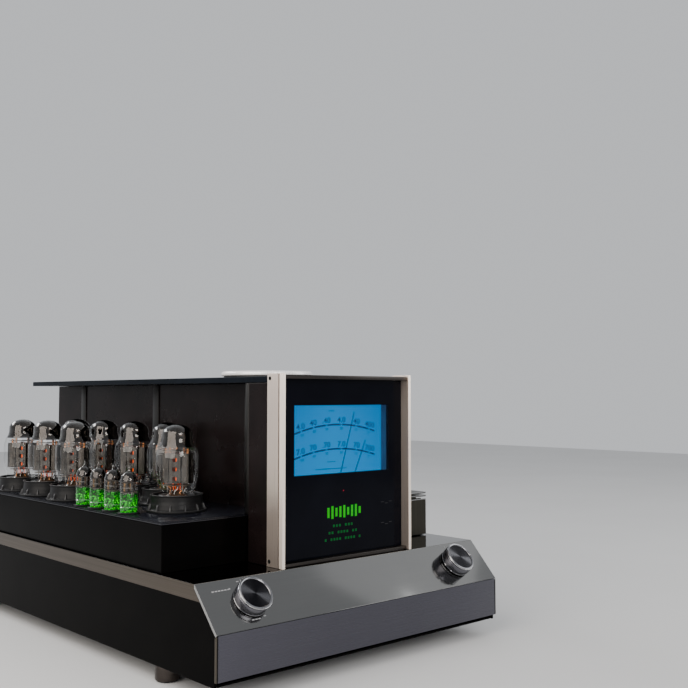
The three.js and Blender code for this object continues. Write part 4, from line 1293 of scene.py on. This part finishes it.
def make_caps():
    """Gold clamping caps with a knurled outer grip."""
    cap = Shape()
    cap.lathe([(4.5, 0.1), (8.8, 0.1), (9, 0.4), (9, 9), (10.8, 10.2), (10.8, 18.2), (10.3, 18.55),
               (0, 18.55), (0, 16.6), (4.5, 16.6)], 0, segments=72, closed=True)
    ribs = 30
    for k in range(ribs):
        turn = Matrix.Rotation(2 * math.pi * k / ribs, 4, "Z")
        cap.box((10.4, -0.55, 10.8), (11.45, 0.55, 18.0), 0, turn, bevel=0.25, segments=1)
    for node, body, _ in CAPS:
        x0, x1, y0, _, z0, z1 = span(node)
        spot = Matrix.Translation(at((x0 + x1) / 2, y0, (z0 + z1) / 2)) @ TO_REAR
        put(cap, f"{node}_knurled", ["gold"], spot, body, [node])


def add_socket_block(shape, node, depth, well):
    """A block on the rear panel with a shaped well. Gives the middle of its face, across and up."""
    x0, x1, _, _, z0, z1 = span(node)
    shape.socket_plate((x0, x1), (REAR_FACE + 0.2, REAR_FACE + depth), (z0, z1), well)
    return (x0 + x1) / 2, (z0 + z1) / 2


def make_sockets():
    """The round signal socket with three pins, and the mains inlet with three blades."""
    shell = Shape()
    x, z = add_socket_block(shell, "input_socket", 10.2, arc(0, 0, 9, 0, 350, 35))
    shell.lathe([(0, 0), (8.9, 0), (8.9, 1.0), (0, 1.0)], 1, on_rear(x, 0.5, z), segments=40)
    for dx, dz in ellipse(3, 4, 4, math.pi / 2):
        shell.lathe([(0, 0), (1.2, 0), (1.2, 7), (0.8, 7.8), (0, 8)], 2, on_rear(x + dx, 1.0, z + dz),
                    segments=16)
    put(shell, "input_socket_shell", ("socket", "groove", "gold"),
        replaces=["input_socket"])

    inlet = Shape()
    well = [(-12, -8), (12, -8), (12, 4.5), (8.5, 8), (-8.5, 8), (-12, 4.5)]
    x, z = add_socket_block(inlet, "mains_inlet", 8.2, well)
    inlet.box((x - 11.9, REAR_FACE + 0.6, z - 7.9), (x + 11.9, REAR_FACE + 1.6, z + 7.9), 1)
    for dx, dz in ((-6.5, -1.8), (0, 2.2), (6.5, -1.8)):
        inlet.box((x + dx - 1, REAR_FACE + 1.2, z + dz - 2),
                  (x + dx + 1, REAR_FACE + 7.0, z + dz + 2), 2, bevel=0.3)
    put(inlet, "mains_inlet_shell", ("socket", "groove", "nickel"),
        replaces=["mains_inlet"])


# ---------------------------------------------------------------- everything

make_camera()
make_stage()
dress_cad()
make_front_panels()
make_bevel_marks()
make_knob("knob_meter", "meter_knob", -KNOB_X, 45)
make_knob("knob_power", "power_knob", KNOB_X, 0)
make_posts()
make_rails()
make_glass()
make_glass_marks()
make_dial()
make_needles()
make_uprights()
make_disc()
make_output_tubes()
make_guards()
make_small_tubes()
make_tube_plate()
make_heat_sink()
make_feet()
make_terminals()
make_caps()
make_sockets()
